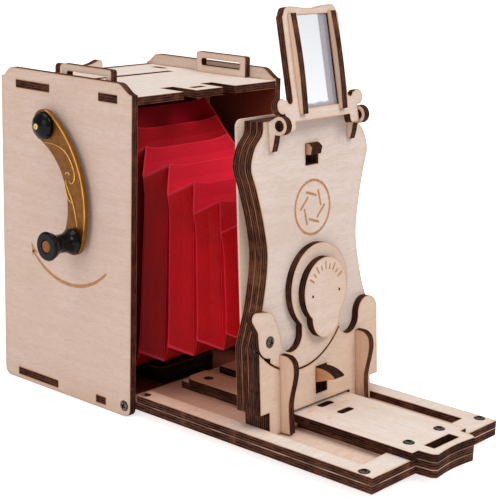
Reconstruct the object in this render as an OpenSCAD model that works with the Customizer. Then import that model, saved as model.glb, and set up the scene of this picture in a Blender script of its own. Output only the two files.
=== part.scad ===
// Folding plywood pinhole camera for instant film.
// X runs across the camera, the front faces -Y, and Z = 0 is the table under the box.
// Y = 0 is the front edge of the side walls.

/* [Plywood] */
// Thickness of every plywood sheet
ply = 3; // [2.6:0.1:3.4]
// Gap beside a plate that slides or swings
run_gap = 0.3; // [0.2:0.05:0.5]
// Gap round a glued tab in its slot
tab_gap = 0.1; // [0.05:0.05:0.2]

/* [Box] */
// Width over the two side walls
box_w = 85; // [84:0.5:92]
// Depth of the side walls, front to back
box_d = 76; // [75:0.5:84]
// Height of the side walls
box_h = 130.7; // [129:0.1:136]
// Radius of the bottom corners of the walls
foot_r = 3.2; // [1:0.1:4]
// Width of the front S-curve at the top of a wall
front_curl_w = 8; // [4:0.5:10]
// Width of the rear S-curve at the top of a wall
rear_curl_w = 6.5; // [4:0.5:8]
// Drop of the S-curves at the top of a wall
curl_drop = 3.9; // [2:0.1:4.5]
// Height of the top face of the top plate
lid_z = 126; // [124:0.2:128]
// Height of the underside of the floor plate
floor_z = 1.8; // [1:0.1:2.5]
// Width of the spring tongue at the front of the top plate
tongue_w = 15.4; // [10:0.2:18]
// Width of the notch on each side of the tongue
tongue_notch_w = 7; // [4:0.5:9]
// Length of the notches beside the tongue
tongue_notch_l = 13; // [8:0.5:16]
// Length of the slit where the film comes out
film_slit_l = 56; // [54:0.5:58]
// Width of the slit where the film comes out
film_slit_w = 3; // [2:0.2:4]
// Length of a strap loop
strap_l = 28; // [24:0.5:32]
// Height of a strap loop above the top plate
strap_h = 8.6; // [7:0.2:12]
// Height of the slot in a strap loop
strap_slot_h = 3; // [2:0.2:4]
// Distance from the front edge to a strap loop
strap_y = 14.5; // [12:0.5:20]

/* [Film chamber] */
// Height of the optical axis
axis_z = 58; // [57:0.1:59]
// Width of the picture window
picture_w = 46; // [40:1:50]
// Height of the picture window
picture_h = 62; // [56:1:66]
// Radius of the two film rollers
roller_r = 4.4; // [3.5:0.1:5]
// Length of the two film rollers
roller_l = 58; // [54:1:60]
// Gap between the rollers for the film
nip = 0.2; // [0.1:0.05:0.4]
// Radius of the roller shafts
shaft_r = 1.5; // [1:0.1:2]
// Running clearance of shafts and pins in their bores
bore_gap = 0.05; // [0.02:0.01:0.1]

/* [Back door] */
// Width of the finger tab on the back door
tab_w = 24; // [16:0.5:30]
// Middle of the finger tab, from the middle of the door
tab_x = -2; // [-4:0.5:4]
// Height of the finger tab above the top plate
tab_h = 3.7; // [2:0.1:4]
// Depth of the hollow in the finger tab
tab_dip = 2; // [0.5:0.1:2.5]
// Radius of the hinge rod of the door
door_rod_r = 1.2; // [1:0.1:1.4]
// Radius of the hinge eyes of the door
door_eye_r = 2.7; // [2.3:0.1:2.8]

/* [Crank] */
// Distance from the back edge of the walls to the crank axis
crank_back = 31; // [29:0.5:33]
// Height of the crank axis
crank_z = 110.5; // [109:0.5:112]
// Thickness of the crank arm
arm_t = 1.2; // [1:0.1:2]
// Gap between the wall and the crank arm
arm_gap = 2.8; // [1.5:0.1:3]
// Radius of the arm's round end on the shaft
arm_head_r = 6.5; // [6.2:0.1:7]
// Radius of the arm's round end under the knob
arm_tail_r = 5.6; // [5:0.1:6]
// Radius of the arm's outer curve
arm_outer_r = 45.2; // [42:0.2:50]
// Radius of the arm's inner curve
arm_inner_r = 27.5; // [26:0.1:30]
// How far the knob lies ahead of the crank axis
knob_fore = 16.6; // [14:0.2:19]
// How far the knob lies below the crank axis
knob_drop = 43.5; // [38:0.5:48]
// Height of the raised rim on the arm
rim_h = 0.4; // [0.3:0.1:0.8]
// Width of the raised rim on the arm
rim_w = 0.7; // [0.5:0.1:1.2]
// Radius of the domed cap over the crank axis
cap_r = 5.4; // [5:0.1:5.7]
// Height of the domed cap
cap_h = 4; // [3:0.1:5]
// Length of the crank knob
knob_l = 13.4; // [11:0.2:15]
// Radius of the knob's outer disc
knob_r = 5.8; // [5.4:0.1:6.4]
// Radius of the knob's inner disc
knob_inner_r = 5.2; // [4.8:0.1:5.4]
// Radius of the knob's waist
knob_waist_r = 3.7; // [3.2:0.1:4.2]
// Radius of the pin that the knob spins on
pin_r = 1.6; // [1.2:0.1:2]

/* [Bed] */
// Height of the underside of the bed
bed_z = 2.8; // [2.6:0.1:3.2]
// How far the nose reaches beyond the bed
nose_l = 7.9; // [6:0.1:10]
// Width of the nose where it leaves the bed
nose_w = 27; // [24:0.5:30]
// Half the width of the rib between the two channels
rib_half = 14.3; // [13:0.1:15]
// Half the distance between the outer sides of the channels
channel_half = 31.4; // [31.2:0.1:33]
// Depth of the bar in front of the channels
channel_bar = 10.4; // [9:0.1:12]
// Half the width of the rail on the rib
rail_half = 17; // [16:0.1:17.2]
// Distance from the front edge of the box to the rail's rear end
rail_start = 4.4; // [3:0.1:8]
// Distance between the stop slots in the rail
stop_pitch = 9.7; // [8:0.1:12]
// Distance from the front edge of the box to the first stop slot
stop_first = 53.7; // [50:0.1:56]
// Radius of the screw heads
screw_head_r = 2.2; // [1.8:0.1:2.6]
// Radius of the screw shanks
screw_r = 1; // [0.8:0.1:1.3]

/* [Front standard] */
// Distance from the front edge of the box to the standard's face, at the rail
standard_y = 58.6; // [56:0.1:62]
// How far the standard leans back, in degrees
lean = 3.9; // [2:0.1:5]
// Half the width of the standard's foot
foot_half = 35; // [34:0.1:37]
// Half the width of the standard's waist
waist_half = 26.3; // [25:0.1:28]
// Half the width of the standard's shoulders
shoulder_half = 34; // [32:0.1:35]
// Half the width of the standard's top
crown_half = 27; // [26.5:0.1:29]
// Height of the waist above the rail
waist_v = 60; // [56:0.5:64]
// Height of the shoulders above the rail
shoulder_v = 94; // [92:0.5:96]
// Height of the top above the rail
crown_v = 110; // [109:0.1:110.6]
// Thickness of the frame that holds the bellows to the standard
frame_t = 1; // [0.8:0.1:2]
// Inner edge of a leg, from the middle
leg_in = 17.4; // [17.3:0.1:18.5]
// Outer edge of a leg, from the middle
leg_out = 30.6; // [29:0.1:31]
// Radius of the pinhole disc
pinhole_disc_r = 7; // [5:0.1:9]
// Radius of the pinhole
pinhole_r = 0.6; // [0.5:0.1:1]
// Height of the side gussets above the rail
gusset_v = 24.1; // [20:0.1:26]
// Reach of the side gussets at their fullest
gusset_reach = 6.8; // [5:0.1:8]

/* [Shutter] */
// Radius of the round head of the shutter
head_r = 16.8; // [15:0.1:17]
// Height of the middle of the head above the rail
head_v = 45.5; // [44:0.1:47]
// Radius of the round lobes beside the head
lobe_r = 6.1; // [5.5:0.1:6.5]
// Distance of the lobes from the middle
lobe_x = 29.5; // [29:0.1:30]
// Height of the lobes above the rail
lobe_v = 30.1; // [29:0.1:31]
// Width of the gap between the shutter and the apron
shutter_gap = 0.7; // [0.5:0.1:1]
// Radius of the round grip on the head
grip_r = 12.7; // [11:0.1:14]
// Radius of the lower lobe of the grip
grip_lobe_r = 8.3; // [7:0.1:10]

/* [Viewfinder] */
// How far the finder leans back from upright, in degrees
finder_lean = 12.1; // [8:0.1:13]
// Half the width of the finder frame
finder_half = 16; // [15:0.1:16.5]
// Height of the finder frame above its hinge
finder_h = 41.3; // [38:0.1:41.5]
// Half the width of the finder window
window_half = 10; // [8:0.1:11]
// Height of the bar under the window
finder_bar_h = 4.4; // [4:0.1:6]
// Reach of the ribs in front of the finder frame, at the middle of their bow
finder_rib_t = 2.4; // [2:0.1:3.4]
// Reach of the ribs at their ends
finder_rib_end = 1.6; // [1:0.1:2.4]
// How far the finder frame lies behind its hinge axis
finder_set = 0.8; // [0:0.1:1]
// Distance from the standard's face to the finder hinge
hinge_out = 5.2; // [5.1:0.1:6]
// Height of the finder hinge above the rail
hinge_v = 108.6; // [108:0.1:109]
// Outer radius of the hinge eyes
eye_r = 3.4; // [3.3:0.1:3.6]
// Radius of the hinge pins
eye_pin_r = 2; // [1.5:0.1:2.4]
// Outer face of a hinge bracket, from the middle
bracket_x = 24.3; // [24:0.1:25]

/* [Bellows] */
// Folds of the bellows inside the box, an odd number
folds_in = 7; // [5:2:9]
// Folds of the bellows in front of its widest turn, an odd number
folds_out = 9; // [7:2:11]
// Depth of a fold, ridge to middle
fold_d = 3.1; // [2:0.1:3.2]
// Thickness of the bellows wall
bellows_t = 0.9; // [0.6:0.1:1.2]
// Half the width of the bellows at the film chamber
bellows_half_w = 27.7; // [26:0.1:29]
// Half the height of the bellows at the film chamber
bellows_half_h = 49; // [46:0.1:49.2]
// How far the middle of the bellows rises towards the film chamber
bellows_lift = 6.5; // [6.3:0.1:7]
// Distance from the front edge to the turn where the bellows starts to taper
turn_y = 14.5; // [12:0.5:16]
// Half the width of the bellows at that turn
turn_half_w = 26.5; // [25:0.1:28]
// Half the height of the bellows at that turn
turn_half_h = 41.8; // [40:0.1:42]
// Half the width of the bellows at the standard
bellows_tip_w = 20; // [18:0.1:22]
// Half the height of the bellows at the standard
bellows_tip_h = 17.2; // [16:0.1:19]

/* [Hidden] */
$fn = 64;

birch = [0.90, 0.82, 0.75];
birch_warm = [0.84, 0.74, 0.66];
crimson = [0.66, 0.05, 0.09];
bronze = [0.55, 0.35, 0.12];
gold = [0.85, 0.60, 0.22];
black = [0.08, 0.08, 0.09];
steel = [0.62, 0.63, 0.65];

wall_in = box_w / 2 - ply;
lid_under = lid_z - ply;
floor_top = floor_z + ply;
door_y = box_d - ply;
// Start and length of the tabs that hold a plate in the walls
lid_tabs = [[8.1, 10.2], [door_y - 26.2, 20.1]];
floor_tabs = [[14, 5.5], [door_y - 30.4, 24.7]];
lid_front = 0.2;
lid_back = door_y - run_gap;
floor_front = 8;
floor_back = floor_tabs[1][0] + floor_tabs[1][1];
crank_y = box_d - crank_back;
slit_y = crank_y + roller_r + nip / 2;
roller_gap = 0.6;
chamber_y = crank_y - roller_r - roller_gap - ply;
idle_y = slit_y + nip / 2 + roller_r;

bed_half = wall_in - run_gap;
bed_mid = bed_z + ply;
bed_top = bed_mid + ply;
rail_top = bed_top + ply;
bed_hinge = [3.3, bed_z + ply / 2];
bed_back = 6.4;
// Folded up, the bed brings its latch slot to the tongue of the top plate
latch_y = bed_hinge[0] + bed_hinge[1] - lid_under - ply / 2;
latch_ahead = 1.5;
bed_l = -latch_y - latch_ahead;

base_z = rail_top + 0.2;
sheets = 3 * ply;
leg_v = bed_mid + run_gap - base_z;
foot_v = 3.4;

// Points of an arc
function arc(c, r, a0, a1, n = 12) =
  [for (i = [0:n]) let (a = a0 + (a1 - a0) * i / n) c + r * [cos(a), sin(a)]];

// Points of an S-curve from p to q, level at both ends
function s_curve(p, q, n = 10) =
  [for (i = [0:n]) let (t = i / n)
    [p[0] + (q[0] - p[0]) * t, p[1] + (q[1] - p[1]) * (1 - cos(180 * t)) / 2]];

// Points of a smooth curve through the given points
function smooth_at(p, i, t) =
  let (
    a = p[max(i - 1, 0)],
    b = p[i],
    c = p[i + 1],
    d = p[min(i + 2, len(p) - 1)]
  )
  0.5 * (2 * b + (c - a) * t + (2 * a - 5 * b + 4 * c - d) * t * t
    + (3 * b - a - 3 * c + d) * t * t * t);
function smooth(p, n = 6) =
  concat([for (i = [0:len(p) - 2]) for (j = [0:n - 1]) smooth_at(p, i, j / n)], [p[len(p) - 1]]);

function flip(p) = [for (i = [len(p) - 1:-1:0]) [-p[i][0], p[i][1]]];

// A plate that stands across X, drawn in Y and Z
module side_plate(x, t) {
  translate([x, 0, 0])
    rotate([90, 0, 90])
      linear_extrude(t)
        children();
}

// A plate that faces front, drawn in X and Z
module front_plate(y, t) {
  translate([0, y + t, 0])
    rotate([90, 0, 0])
      linear_extrude(t)
        children();
}

// A flat plate, drawn in X and Y
module flat_plate(z, t) {
  translate([0, 0, z])
    linear_extrude(t)
      children();
}

// A rod along X
module rod(x0, x1, r, y, z) {
  translate([x0, y, z])
    rotate([0, 90, 0])
      cylinder(h = x1 - x0, r = r);
}

// The standard's own frame: v up its face, y from its face to the back
module on_standard() {
  translate([0, -standard_y, base_z])
    rotate([-lean, 0, 0])
      children();
}

// A rectangle given by its limits
module span(x0, x1, y0, y1) {
  translate([x0, y0])
    square([x1 - x0, y1 - y0]);
}

// A rectangle and its mirror image on the other side of the middle
module pair_span(x0, x1, y0, y1) {
  span(x0, x1, y0, y1);
  span(-x1, -x0, y0, y1);
}

// A circle and its mirror image on the other side of the middle
module pair_circle(at, r) {
  for (side = [-1, 1])
    translate([side * at[0], at[1]])
      circle(r);
}

// A rectangle with round corners
module round_span(x0, x1, y0, y1, r) {
  polygon(concat(
    arc([x0 + r, y0 + r], r, 180, 270, 6),
    arc([x1 - r, y0 + r], r, 270, 360, 6),
    arc([x1 - r, y1 - r], r, 0, 90, 6),
    arc([x0 + r, y1 - r], r, 90, 180, 6)
  ));
}

// Two circles joined by their outer tangents
module link(c1, r1, c2, r2) {
  way = c2 - c1;
  head = atan2(way[1], way[0]);
  swing = acos((r1 - r2) / norm(way));
  translate(c1)
    circle(r1);
  translate(c2)
    circle(r2);
  polygon([
    c1 + r1 * [cos(head + swing), sin(head + swing)],
    c1 + r1 * [cos(head - swing), sin(head - swing)],
    c2 + r2 * [cos(head - swing), sin(head - swing)],
    c2 + r2 * [cos(head + swing), sin(head + swing)]
  ]);
}

// Outline of a side wall in Y and Z
module wall_outline() {
  polygon(concat(
    arc([foot_r, foot_r], foot_r, 180, 270),
    arc([box_d - foot_r, foot_r], foot_r, 270, 360),
    s_curve([box_d, box_h - curl_drop], [box_d - rear_curl_w, box_h]),
    s_curve([front_curl_w, box_h], [0, box_h - curl_drop])
  ));
}

module wall_tabs(tabs, z) {
  for (tab = tabs)
    span(tab[0] - tab_gap, tab[0] + tab[1] + tab_gap, z - tab_gap, z + ply + tab_gap);
}

module wall(x, crank_bore) {
  side_plate(x, ply)
    difference() {
      wall_outline();
      wall_tabs(lid_tabs, lid_under);
      wall_tabs(floor_tabs, floor_z);
      translate(bed_hinge)
        circle(screw_r + bore_gap);
      if (crank_bore)
        translate([crank_y, crank_z])
          circle(shaft_r + bore_gap);
    }
}

module left_wall() {
  color(birch_warm)
    wall(-box_w / 2, true);
}

module right_wall() {
  color(birch_warm)
    wall(wall_in, false);
}

// Room between a roller and the bracket at its end
roller_end = 2.5;
roller_bracket_x = roller_l / 2 + roller_end;
bracket_tab = [idle_y + 4, 7];
bracket_r = 2;

tongue_hole = [7, 3];
tongue_hole_y = 5.5;

module top_plate() {
  color(birch)
    flat_plate(lid_under, ply)
      difference() {
        union() {
          span(-wall_in + tab_gap, wall_in - tab_gap, lid_front, lid_back);
          for (tab = lid_tabs)
            span(-box_w / 2, box_w / 2, tab[0], tab[0] + tab[1]);
        }
        pair_span(tongue_w / 2, tongue_w / 2 + tongue_notch_w, -1, lid_front + tongue_notch_l);
        span(-tongue_hole[0] / 2, tongue_hole[0] / 2, tongue_hole_y, tongue_hole_y + tongue_hole[1]);
        span(-film_slit_l / 2, film_slit_l / 2, slit_y - film_slit_w / 2, slit_y + film_slit_w / 2);
        pair_span(roller_bracket_x - tab_gap, roller_bracket_x + ply + tab_gap,
          bracket_tab[0] - tab_gap, bracket_tab[0] + bracket_tab[1] + tab_gap);
      }
}

module floor_plate() {
  color(birch_warm)
    flat_plate(floor_z, ply)
      union() {
        span(-wall_in + tab_gap, wall_in - tab_gap, floor_front, floor_back);
        for (tab = floor_tabs)
          span(-box_w / 2, box_w / 2, tab[0], tab[0] + tab[1]);
      }
}

strap_slot_margin = 3;
strap_corner = 1;
strap_slot_r = 0.7;

module strap_loop(x) {
  side_plate(x, ply)
    difference() {
      union() {
        round_span(strap_y, strap_y + strap_l, lid_z, lid_z + strap_h, strap_corner);
        span(strap_y, strap_y + strap_l, lid_z, lid_z + strap_h / 2);
      }
      round_span(strap_y + strap_slot_margin, strap_y + strap_l - strap_slot_margin,
        lid_z + strap_slot_margin, lid_z + strap_slot_margin + strap_slot_h, strap_slot_r);
    }
}

module strap_loop_left() {
  color(birch)
    strap_loop(-wall_in);
}

module strap_loop_right() {
  color(birch)
    strap_loop(wall_in - ply);
}

chamber_top = crank_z - roller_r - 2 * roller_gap;
gate_y = chamber_y + ply;
frame_lap = 2 * fold_d;

// The upright sheet that carries the wide end of the bellows
module bellows_rear_frame() {
  color(birch_warm)
    front_plate(chamber_y, ply)
      difference() {
        span(-wall_in, wall_in, floor_top, lid_under);
        span(-bellows_half_w - fold_d + frame_lap, bellows_half_w + fold_d - frame_lap,
          axis_z + bellows_lift - bellows_half_h + frame_lap,
          axis_z + bellows_lift + bellows_half_h - frame_lap);
      }
}

module film_gate() {
  color(birch_warm)
    front_plate(gate_y, ply)
      difference() {
        span(-wall_in, wall_in, floor_top, chamber_top);
        span(-picture_w / 2, picture_w / 2, axis_z - picture_h / 2, axis_z + picture_h / 2);
      }
}

module roller_bracket(x) {
  side_plate(x, ply)
    difference() {
      union() {
        round_span(gate_y, bracket_tab[0] + bracket_tab[1] + bracket_r, chamber_top + run_gap, lid_under, bracket_r);
        span(bracket_tab[0], bracket_tab[0] + bracket_tab[1], crank_z, lid_z);
      }
      for (y = [crank_y, idle_y])
        translate([y, crank_z])
          circle(shaft_r + bore_gap);
    }
}

module roller_bracket_left() {
  color(birch_warm)
    roller_bracket(-roller_bracket_x - ply);
}

module roller_bracket_right() {
  color(birch_warm)
    roller_bracket(roller_bracket_x);
}

inner_front = 9;

module inner_rib() {
  color(birch_warm)
    flat_plate(floor_top, bed_top - floor_top)
      span(-rib_half, rib_half, inner_front, chamber_y);
}

module inner_rail() {
  color(birch)
    flat_plate(bed_top, ply)
      round_span(-rail_half, rail_half, inner_front, chamber_y, 4);
}

// A screw with a domed head, its head upwards at z = 0
module dome_screw(length) {
  rotate_extrude()
    polygon(concat(
      [[0, -length], [screw_r, -length], [screw_r, 0], [screw_head_r, 0]],
      [for (i = [0:8]) [screw_head_r * cos(90 * i / 8), 0.3 + screw_r * sin(90 * i / 8)]]
    ));
}

hinge_screw_l = 7;

module bed_hinge_screws() {
  color(black)
    for (side = [-1, 1])
      translate([side * box_w / 2, bed_hinge[0], bed_hinge[1]])
        rotate([0, side * 90, 0])
          dome_screw(hinge_screw_l);
}

door_axis = [door_y - ply, floor_top + door_eye_r + 0.5];
door_eye_x = 24;
// How far the door reaches below its hinge axis
door_lip = 2.4;
// The ears' feet end short of the open door's edge
ear_foot_l = 10;
ear_end = door_axis[0] - door_lip - 2 * run_gap;

module door_hinge_ears() {
  color(birch_warm)
    for (side = [-1, 1])
      side_plate(side * (door_eye_x + ply + run_gap + ply / 2) - ply / 2, ply)
        difference() {
          union() {
            translate(door_axis)
              circle(door_eye_r);
            polygon([
              [floor_back - ear_foot_l, floor_top],
              [ear_end, floor_top],
              [ear_end, door_axis[1] - door_eye_r],
              door_axis + [0, -door_eye_r],
              door_axis + [0, door_eye_r]
            ]);
          }
          translate(door_axis)
            circle(door_rod_r + bore_gap);
        }
}

module door_hinge_rod() {
  color(steel)
    rod(-door_eye_x - 2 * ply - run_gap, door_eye_x + 2 * ply + run_gap, door_rod_r,
      door_axis[0], door_axis[1]);
}

door_foot = door_axis[1] - door_lip;

tab_r = 1.5;

module back_door() {
  color(birch)
    front_plate(door_y, ply)
      difference() {
        union() {
          span(-bed_half, bed_half, door_foot, lid_z);
          round_span(tab_x - tab_w / 2, tab_x + tab_w / 2, lid_z - tab_h, lid_z + tab_h, tab_r);
        }
        translate([tab_x, lid_z + tab_h - tab_dip + tab_w])
          circle(tab_w);
      }
}

knuckle_drop = 1.8;

module door_knuckles() {
  color(birch_warm)
    for (side = [-1, 1])
      side_plate(side * (door_eye_x + ply / 2) - ply / 2, ply)
        difference() {
          union() {
            translate(door_axis)
              circle(door_eye_r);
            span(door_axis[0], door_y, door_axis[1] - knuckle_drop, door_axis[1] + door_eye_r);
          }
          translate(door_axis)
            circle(door_rod_r + bore_gap);
        }
}

spring_t = 0.4;
spring_w = 10;
spring_l = 60;
spring_bow = 5;
spring_x = 18;

// Two bowed leaf springs that press the film pack forward
module door_springs() {
  color(steel)
    for (side = [-1, 1])
      side_plate(side * spring_x - spring_w / 2, spring_w)
        polygon(concat(
          [for (i = [0:12]) let (t = i / 12)
            [door_y - spring_bow * sin(180 * t) - spring_t, axis_z + spring_l * (t - 0.5)]],
          [for (i = [12:-1:0]) let (t = i / 12)
            [door_y - spring_bow * sin(180 * t), axis_z + spring_l * (t - 0.5)]]
        ));
}

// Outline of the bed in X and Y, with its nose
module bed_outline(back) {
  dip = 1;
  tip = nose_w / 2 - 1;
  chamfer = 1.6;
  union() {
    span(-bed_half, bed_half, -bed_l, back);
    polygon(concat(
      [[nose_w / 2, -bed_l + 1], [-nose_w / 2, -bed_l + 1], [-tip - 0.4, -bed_l - nose_l + chamfer]],
      [for (i = [-6:6])
        [tip * i / 6 * 0.92, -bed_l - nose_l + dip * cos(90 * i / 6)]],
      [[tip + 0.4, -bed_l - nose_l + chamfer]]
    ));
  }
}

bed_screw = [bed_half - 2.8, -bed_l + 5.7];
rail_screw = [9.6, -bed_l + 6.2];
strip_hole = [bed_half - 2.9, -2.4];
strip_hole_r = 2.1;
latch_slot = [tongue_w + 0.4, 4.4];

module screw_bores(at) {
  pair_circle(at, screw_r + bore_gap);
}

// The slot that takes the tongue of the top plate when the bed is folded up
module latch_cut() {
  span(-latch_slot[0] / 2, latch_slot[0] / 2, latch_y - latch_slot[1] / 2, latch_y + latch_slot[1] / 2);
}

module bed_lower() {
  color(birch_warm)
    difference() {
      flat_plate(bed_z, ply)
        difference() {
          bed_outline(bed_back);
          screw_bores(bed_screw);
          screw_bores(rail_screw);
          latch_cut();
        }
      for (side = [-1, 1])
        rod(side * (bed_half - hinge_screw_l / 2) - hinge_screw_l / 2 - 1,
          side * (bed_half - hinge_screw_l / 2) + hinge_screw_l / 2 + 1,
          screw_r + bore_gap, bed_hinge[0], bed_hinge[1]);
    }
}

module bed_upper() {
  color(birch)
    flat_plate(bed_mid, ply)
      difference() {
        bed_outline(-2 * run_gap);
        pair_span(rib_half, channel_half, -bed_l + channel_bar, 1);
        screw_bores(bed_screw);
        screw_bores(rail_screw);
        latch_cut();
        pair_circle(strip_hole, strip_hole_r);
      }
}

stop_slot = [8, 3];
stop_slot_r = 1.2;
rail_lip = 0.6;
rail_corner = 5;
// Width and length of the notch at the rail's rear end
rail_notch = [8, 14.6];
rail_hole = [10.5, -rail_start - 7.6];
rail_hole_r = 2;

module bed_rail() {
  color(birch)
    flat_plate(bed_top, ply)
      difference() {
        union() {
          round_span(-rail_half, rail_half, -bed_l - rail_lip, -rail_start, rail_corner);
          span(-rail_half, rail_half, -bed_l - rail_lip, -bed_l + channel_bar);
          intersection() {
            bed_outline(0);
            span(-nose_w / 2, nose_w / 2, -bed_l - nose_l - 1, -bed_l + channel_bar);
          }
        }
        span(-rail_notch[0] / 2, rail_notch[0] / 2, -rail_start - rail_notch[1], 0);
        for (i = [0:2])
          translate([0, -stop_first - i * stop_pitch])
            round_span(-stop_slot[0] / 2, stop_slot[0] / 2, -stop_slot[1] / 2, stop_slot[1] / 2, stop_slot_r);
        pair_circle(rail_hole, rail_hole_r);
        screw_bores(rail_screw);
        latch_cut();
      }
}

module bed_screws() {
  color(black)
    for (side = [-1, 1]) {
      translate([side * bed_screw[0], bed_screw[1], bed_top])
        dome_screw(2 * ply);
      translate([side * rail_screw[0], rail_screw[1], rail_top])
        dome_screw(3 * ply);
    }
}

module drive_roller() {
  color(black)
    difference() {
      rod(-roller_l / 2, roller_l / 2, roller_r, crank_y, crank_z);
      rod(-roller_l, roller_l, shaft_r, crank_y, crank_z);
    }
}

arm_x = -box_w / 2 - arm_gap - arm_t;
collar_r = 2 * shaft_r;

module crank_shaft() {
  color(steel)
    union() {
      rod(arm_x, roller_bracket_x + ply, shaft_r, crank_y, crank_z);
      rod(-box_w / 2 - arm_gap, -box_w / 2 - run_gap, collar_r, crank_y, crank_z);
    }
}

knob_at = [crank_y - knob_fore, crank_z - knob_drop];
axle_at = [crank_y, crank_z];

// Where two circles meet, on the left of the way from the first to the second
function meet(c1, r1, c2, r2) =
  let (
    way = c2 - c1,
    d = norm(way),
    along = (r1 * r1 - r2 * r2 + d * d) / (2 * d),
    off = sqrt(r1 * r1 - along * along)
  )
  c1 + (along * way + off * [-way[1], way[0]]) / d;

function heading(c, p) = atan2(p[1] - c[1], p[0] - c[0]);

// The arm's outer curve touches both round ends on their far side, its inner curve on their near side
arm_mid = meet(axle_at, arm_outer_r - arm_head_r, knob_at, arm_outer_r - arm_tail_r);
arm_inner_at = meet(axle_at, arm_inner_r + arm_head_r, knob_at, arm_inner_r + arm_tail_r);

// Points of an arc from one heading to another, left round or right round
function turn_arc(c, r, a0, a1, way, n = 16) =
  let (sweep = way > 0 ? (a1 - a0 + 720) % 360 : -((a0 - a1 + 720) % 360))
  [for (i = [0:n]) let (a = a0 + sweep * i / n) c + r * [cos(a), sin(a)]];

// One outline: outer curve, end under the knob, inner curve, end on the shaft
module arm_outline(inset, inner_inset) {
  outer = turn_arc(arm_mid, arm_outer_r - inset, heading(arm_mid, axle_at), heading(arm_mid, knob_at), 1, 24);
  tail = turn_arc(knob_at, arm_tail_r - inset, heading(arm_mid, knob_at), heading(knob_at, arm_inner_at), 1);
  inner = turn_arc(arm_inner_at, arm_inner_r + inner_inset,
    heading(arm_inner_at, knob_at), heading(arm_inner_at, axle_at), -1);
  head = turn_arc(axle_at, arm_head_r - inset, heading(axle_at, arm_inner_at), heading(arm_mid, axle_at), 1);
  polygon(concat(outer, inner_points(tail), inner, inner_points(head)));
}

// A row of points without its first and last
function inner_points(p) = [for (i = [1:len(p) - 2]) p[i]];

module crank_arm() {
  color(bronze)
    union() {
      side_plate(arm_x, arm_t)
        difference() {
          arm_outline(0, 0);
          translate(axle_at)
            circle(shaft_r + bore_gap);
          translate(knob_at)
            circle(pin_r);
        }
      side_plate(arm_x - rim_h, rim_h)
        difference() {
          arm_outline(0, 0);
          arm_outline(rim_w, -rim_w);
        }
    }
}

// The cap stands on the arm inside its rim
cap_fit_r = min(cap_r, arm_head_r - rim_w - tab_gap);
cap_brim = 0.8;
cap_span = 75;

module crank_cap() {
  color(black)
    translate([arm_x, crank_y, crank_z])
      rotate([0, -90, 0])
        rotate_extrude()
          polygon(concat(
            [[0, 0], [cap_fit_r, 0]],
            [for (i = [0:12]) let (a = cap_span * i / 12)
              [cap_fit_r * cos(a), cap_brim + (cap_h - cap_brim) * sin(a) / sin(cap_span)]],
            [[0, cap_h]]
          ));
}

cap_screw_r = 1.15;
cap_screw_h = 0.5;
cross_w = 0.4;

module crank_screw() {
  color(gold)
    translate([arm_x - cap_h, crank_y, crank_z])
      rotate([0, -90, 0])
        difference() {
          cylinder(h = cap_screw_h, r = cap_screw_r);
          for (a = [0, 90])
            rotate([0, 0, a])
              translate([-cap_screw_r * 0.7, -cross_w / 2, cap_screw_h / 2])
                cube([cap_screw_r * 1.4, cross_w, cap_screw_h]);
        }
}

knob_play = 0.2;
knob_x = arm_x - rim_h - knob_play;
// The pin's head sits in a round recess in the knob's outer face
pin_head_r = pin_r + 0.7;
pin_head_h = 0.8;
recess_r = pin_head_r + 2 * knob_play;
recess_h = pin_head_h + 2 * knob_play;

module crank_pin() {
  color(bronze)
    union() {
      rod(knob_x - knob_l + recess_h, arm_x + arm_t, pin_r, knob_at[0], knob_at[1]);
      rod(knob_x - knob_l + knob_play, knob_x - knob_l + knob_play + pin_head_h, pin_head_r,
        knob_at[0], knob_at[1]);
      rod(knob_x - knob_l + knob_play, knob_x - knob_l + recess_h + knob_play, pin_r,
        knob_at[0], knob_at[1]);
    }
}

knob_disc_l = 2;
knob_edge_r = 0.9;

// A spool: two round-edged discs and a hollow waist
module crank_knob() {
  color(black)
    translate([knob_x, knob_at[0], knob_at[1]])
      rotate([0, -90, 0])
        rotate_extrude()
          polygon(concat(
            [[pin_r + bore_gap, 0]],
            arc([knob_inner_r - knob_edge_r, knob_edge_r], knob_edge_r, -90, 0, 5),
            [for (i = [1:11]) let (t = i / 12, r = t < 0.5 ? knob_inner_r : knob_r)
              [knob_waist_r + (r - knob_waist_r) * pow(abs(2 * t - 1), 2.4),
                knob_edge_r + (knob_l - knob_disc_l - knob_edge_r) * t]],
            arc([knob_r - knob_edge_r, knob_l - knob_edge_r], knob_edge_r, 0, 90, 5),
            [[recess_r, knob_l], [recess_r, knob_l - recess_h], [pin_r + bore_gap, knob_l - recess_h]]
          ));
}

module idle_roller() {
  color(black)
    difference() {
      rod(-roller_l / 2, roller_l / 2, roller_r, idle_y, crank_z);
      rod(-roller_l, roller_l, shaft_r, idle_y, crank_z);
    }
}

module idle_shaft() {
  color(steel)
    rod(-roller_bracket_x - ply, roller_bracket_x + ply, shaft_r, idle_y, crank_z);
}

// Right half of the standard's outline, from the foot to the top
standard_side = concat(
  [[foot_half, foot_v]],
  smooth([
    [foot_half, waist_v - 32],
    [foot_half - 2.6, waist_v - 25],
    [waist_half + 2.9, waist_v - 16],
    [waist_half, waist_v],
    [waist_half + 1.6, waist_v + 13],
    [shoulder_half - 2.6, shoulder_v - 8],
    [shoulder_half, shoulder_v],
    [shoulder_half - 2.2, shoulder_v + 7],
    [crown_half + 0.6, crown_v - 4.4],
    [crown_half, crown_v]
  ])
);

module leg_outlines(bottom) {
  pair_span(leg_in, leg_out, bottom, foot_v + 8);
}

catch_half = ply + 0.45;
catch_slot_top = 14.8;
apron_foot = 0.7;

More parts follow.
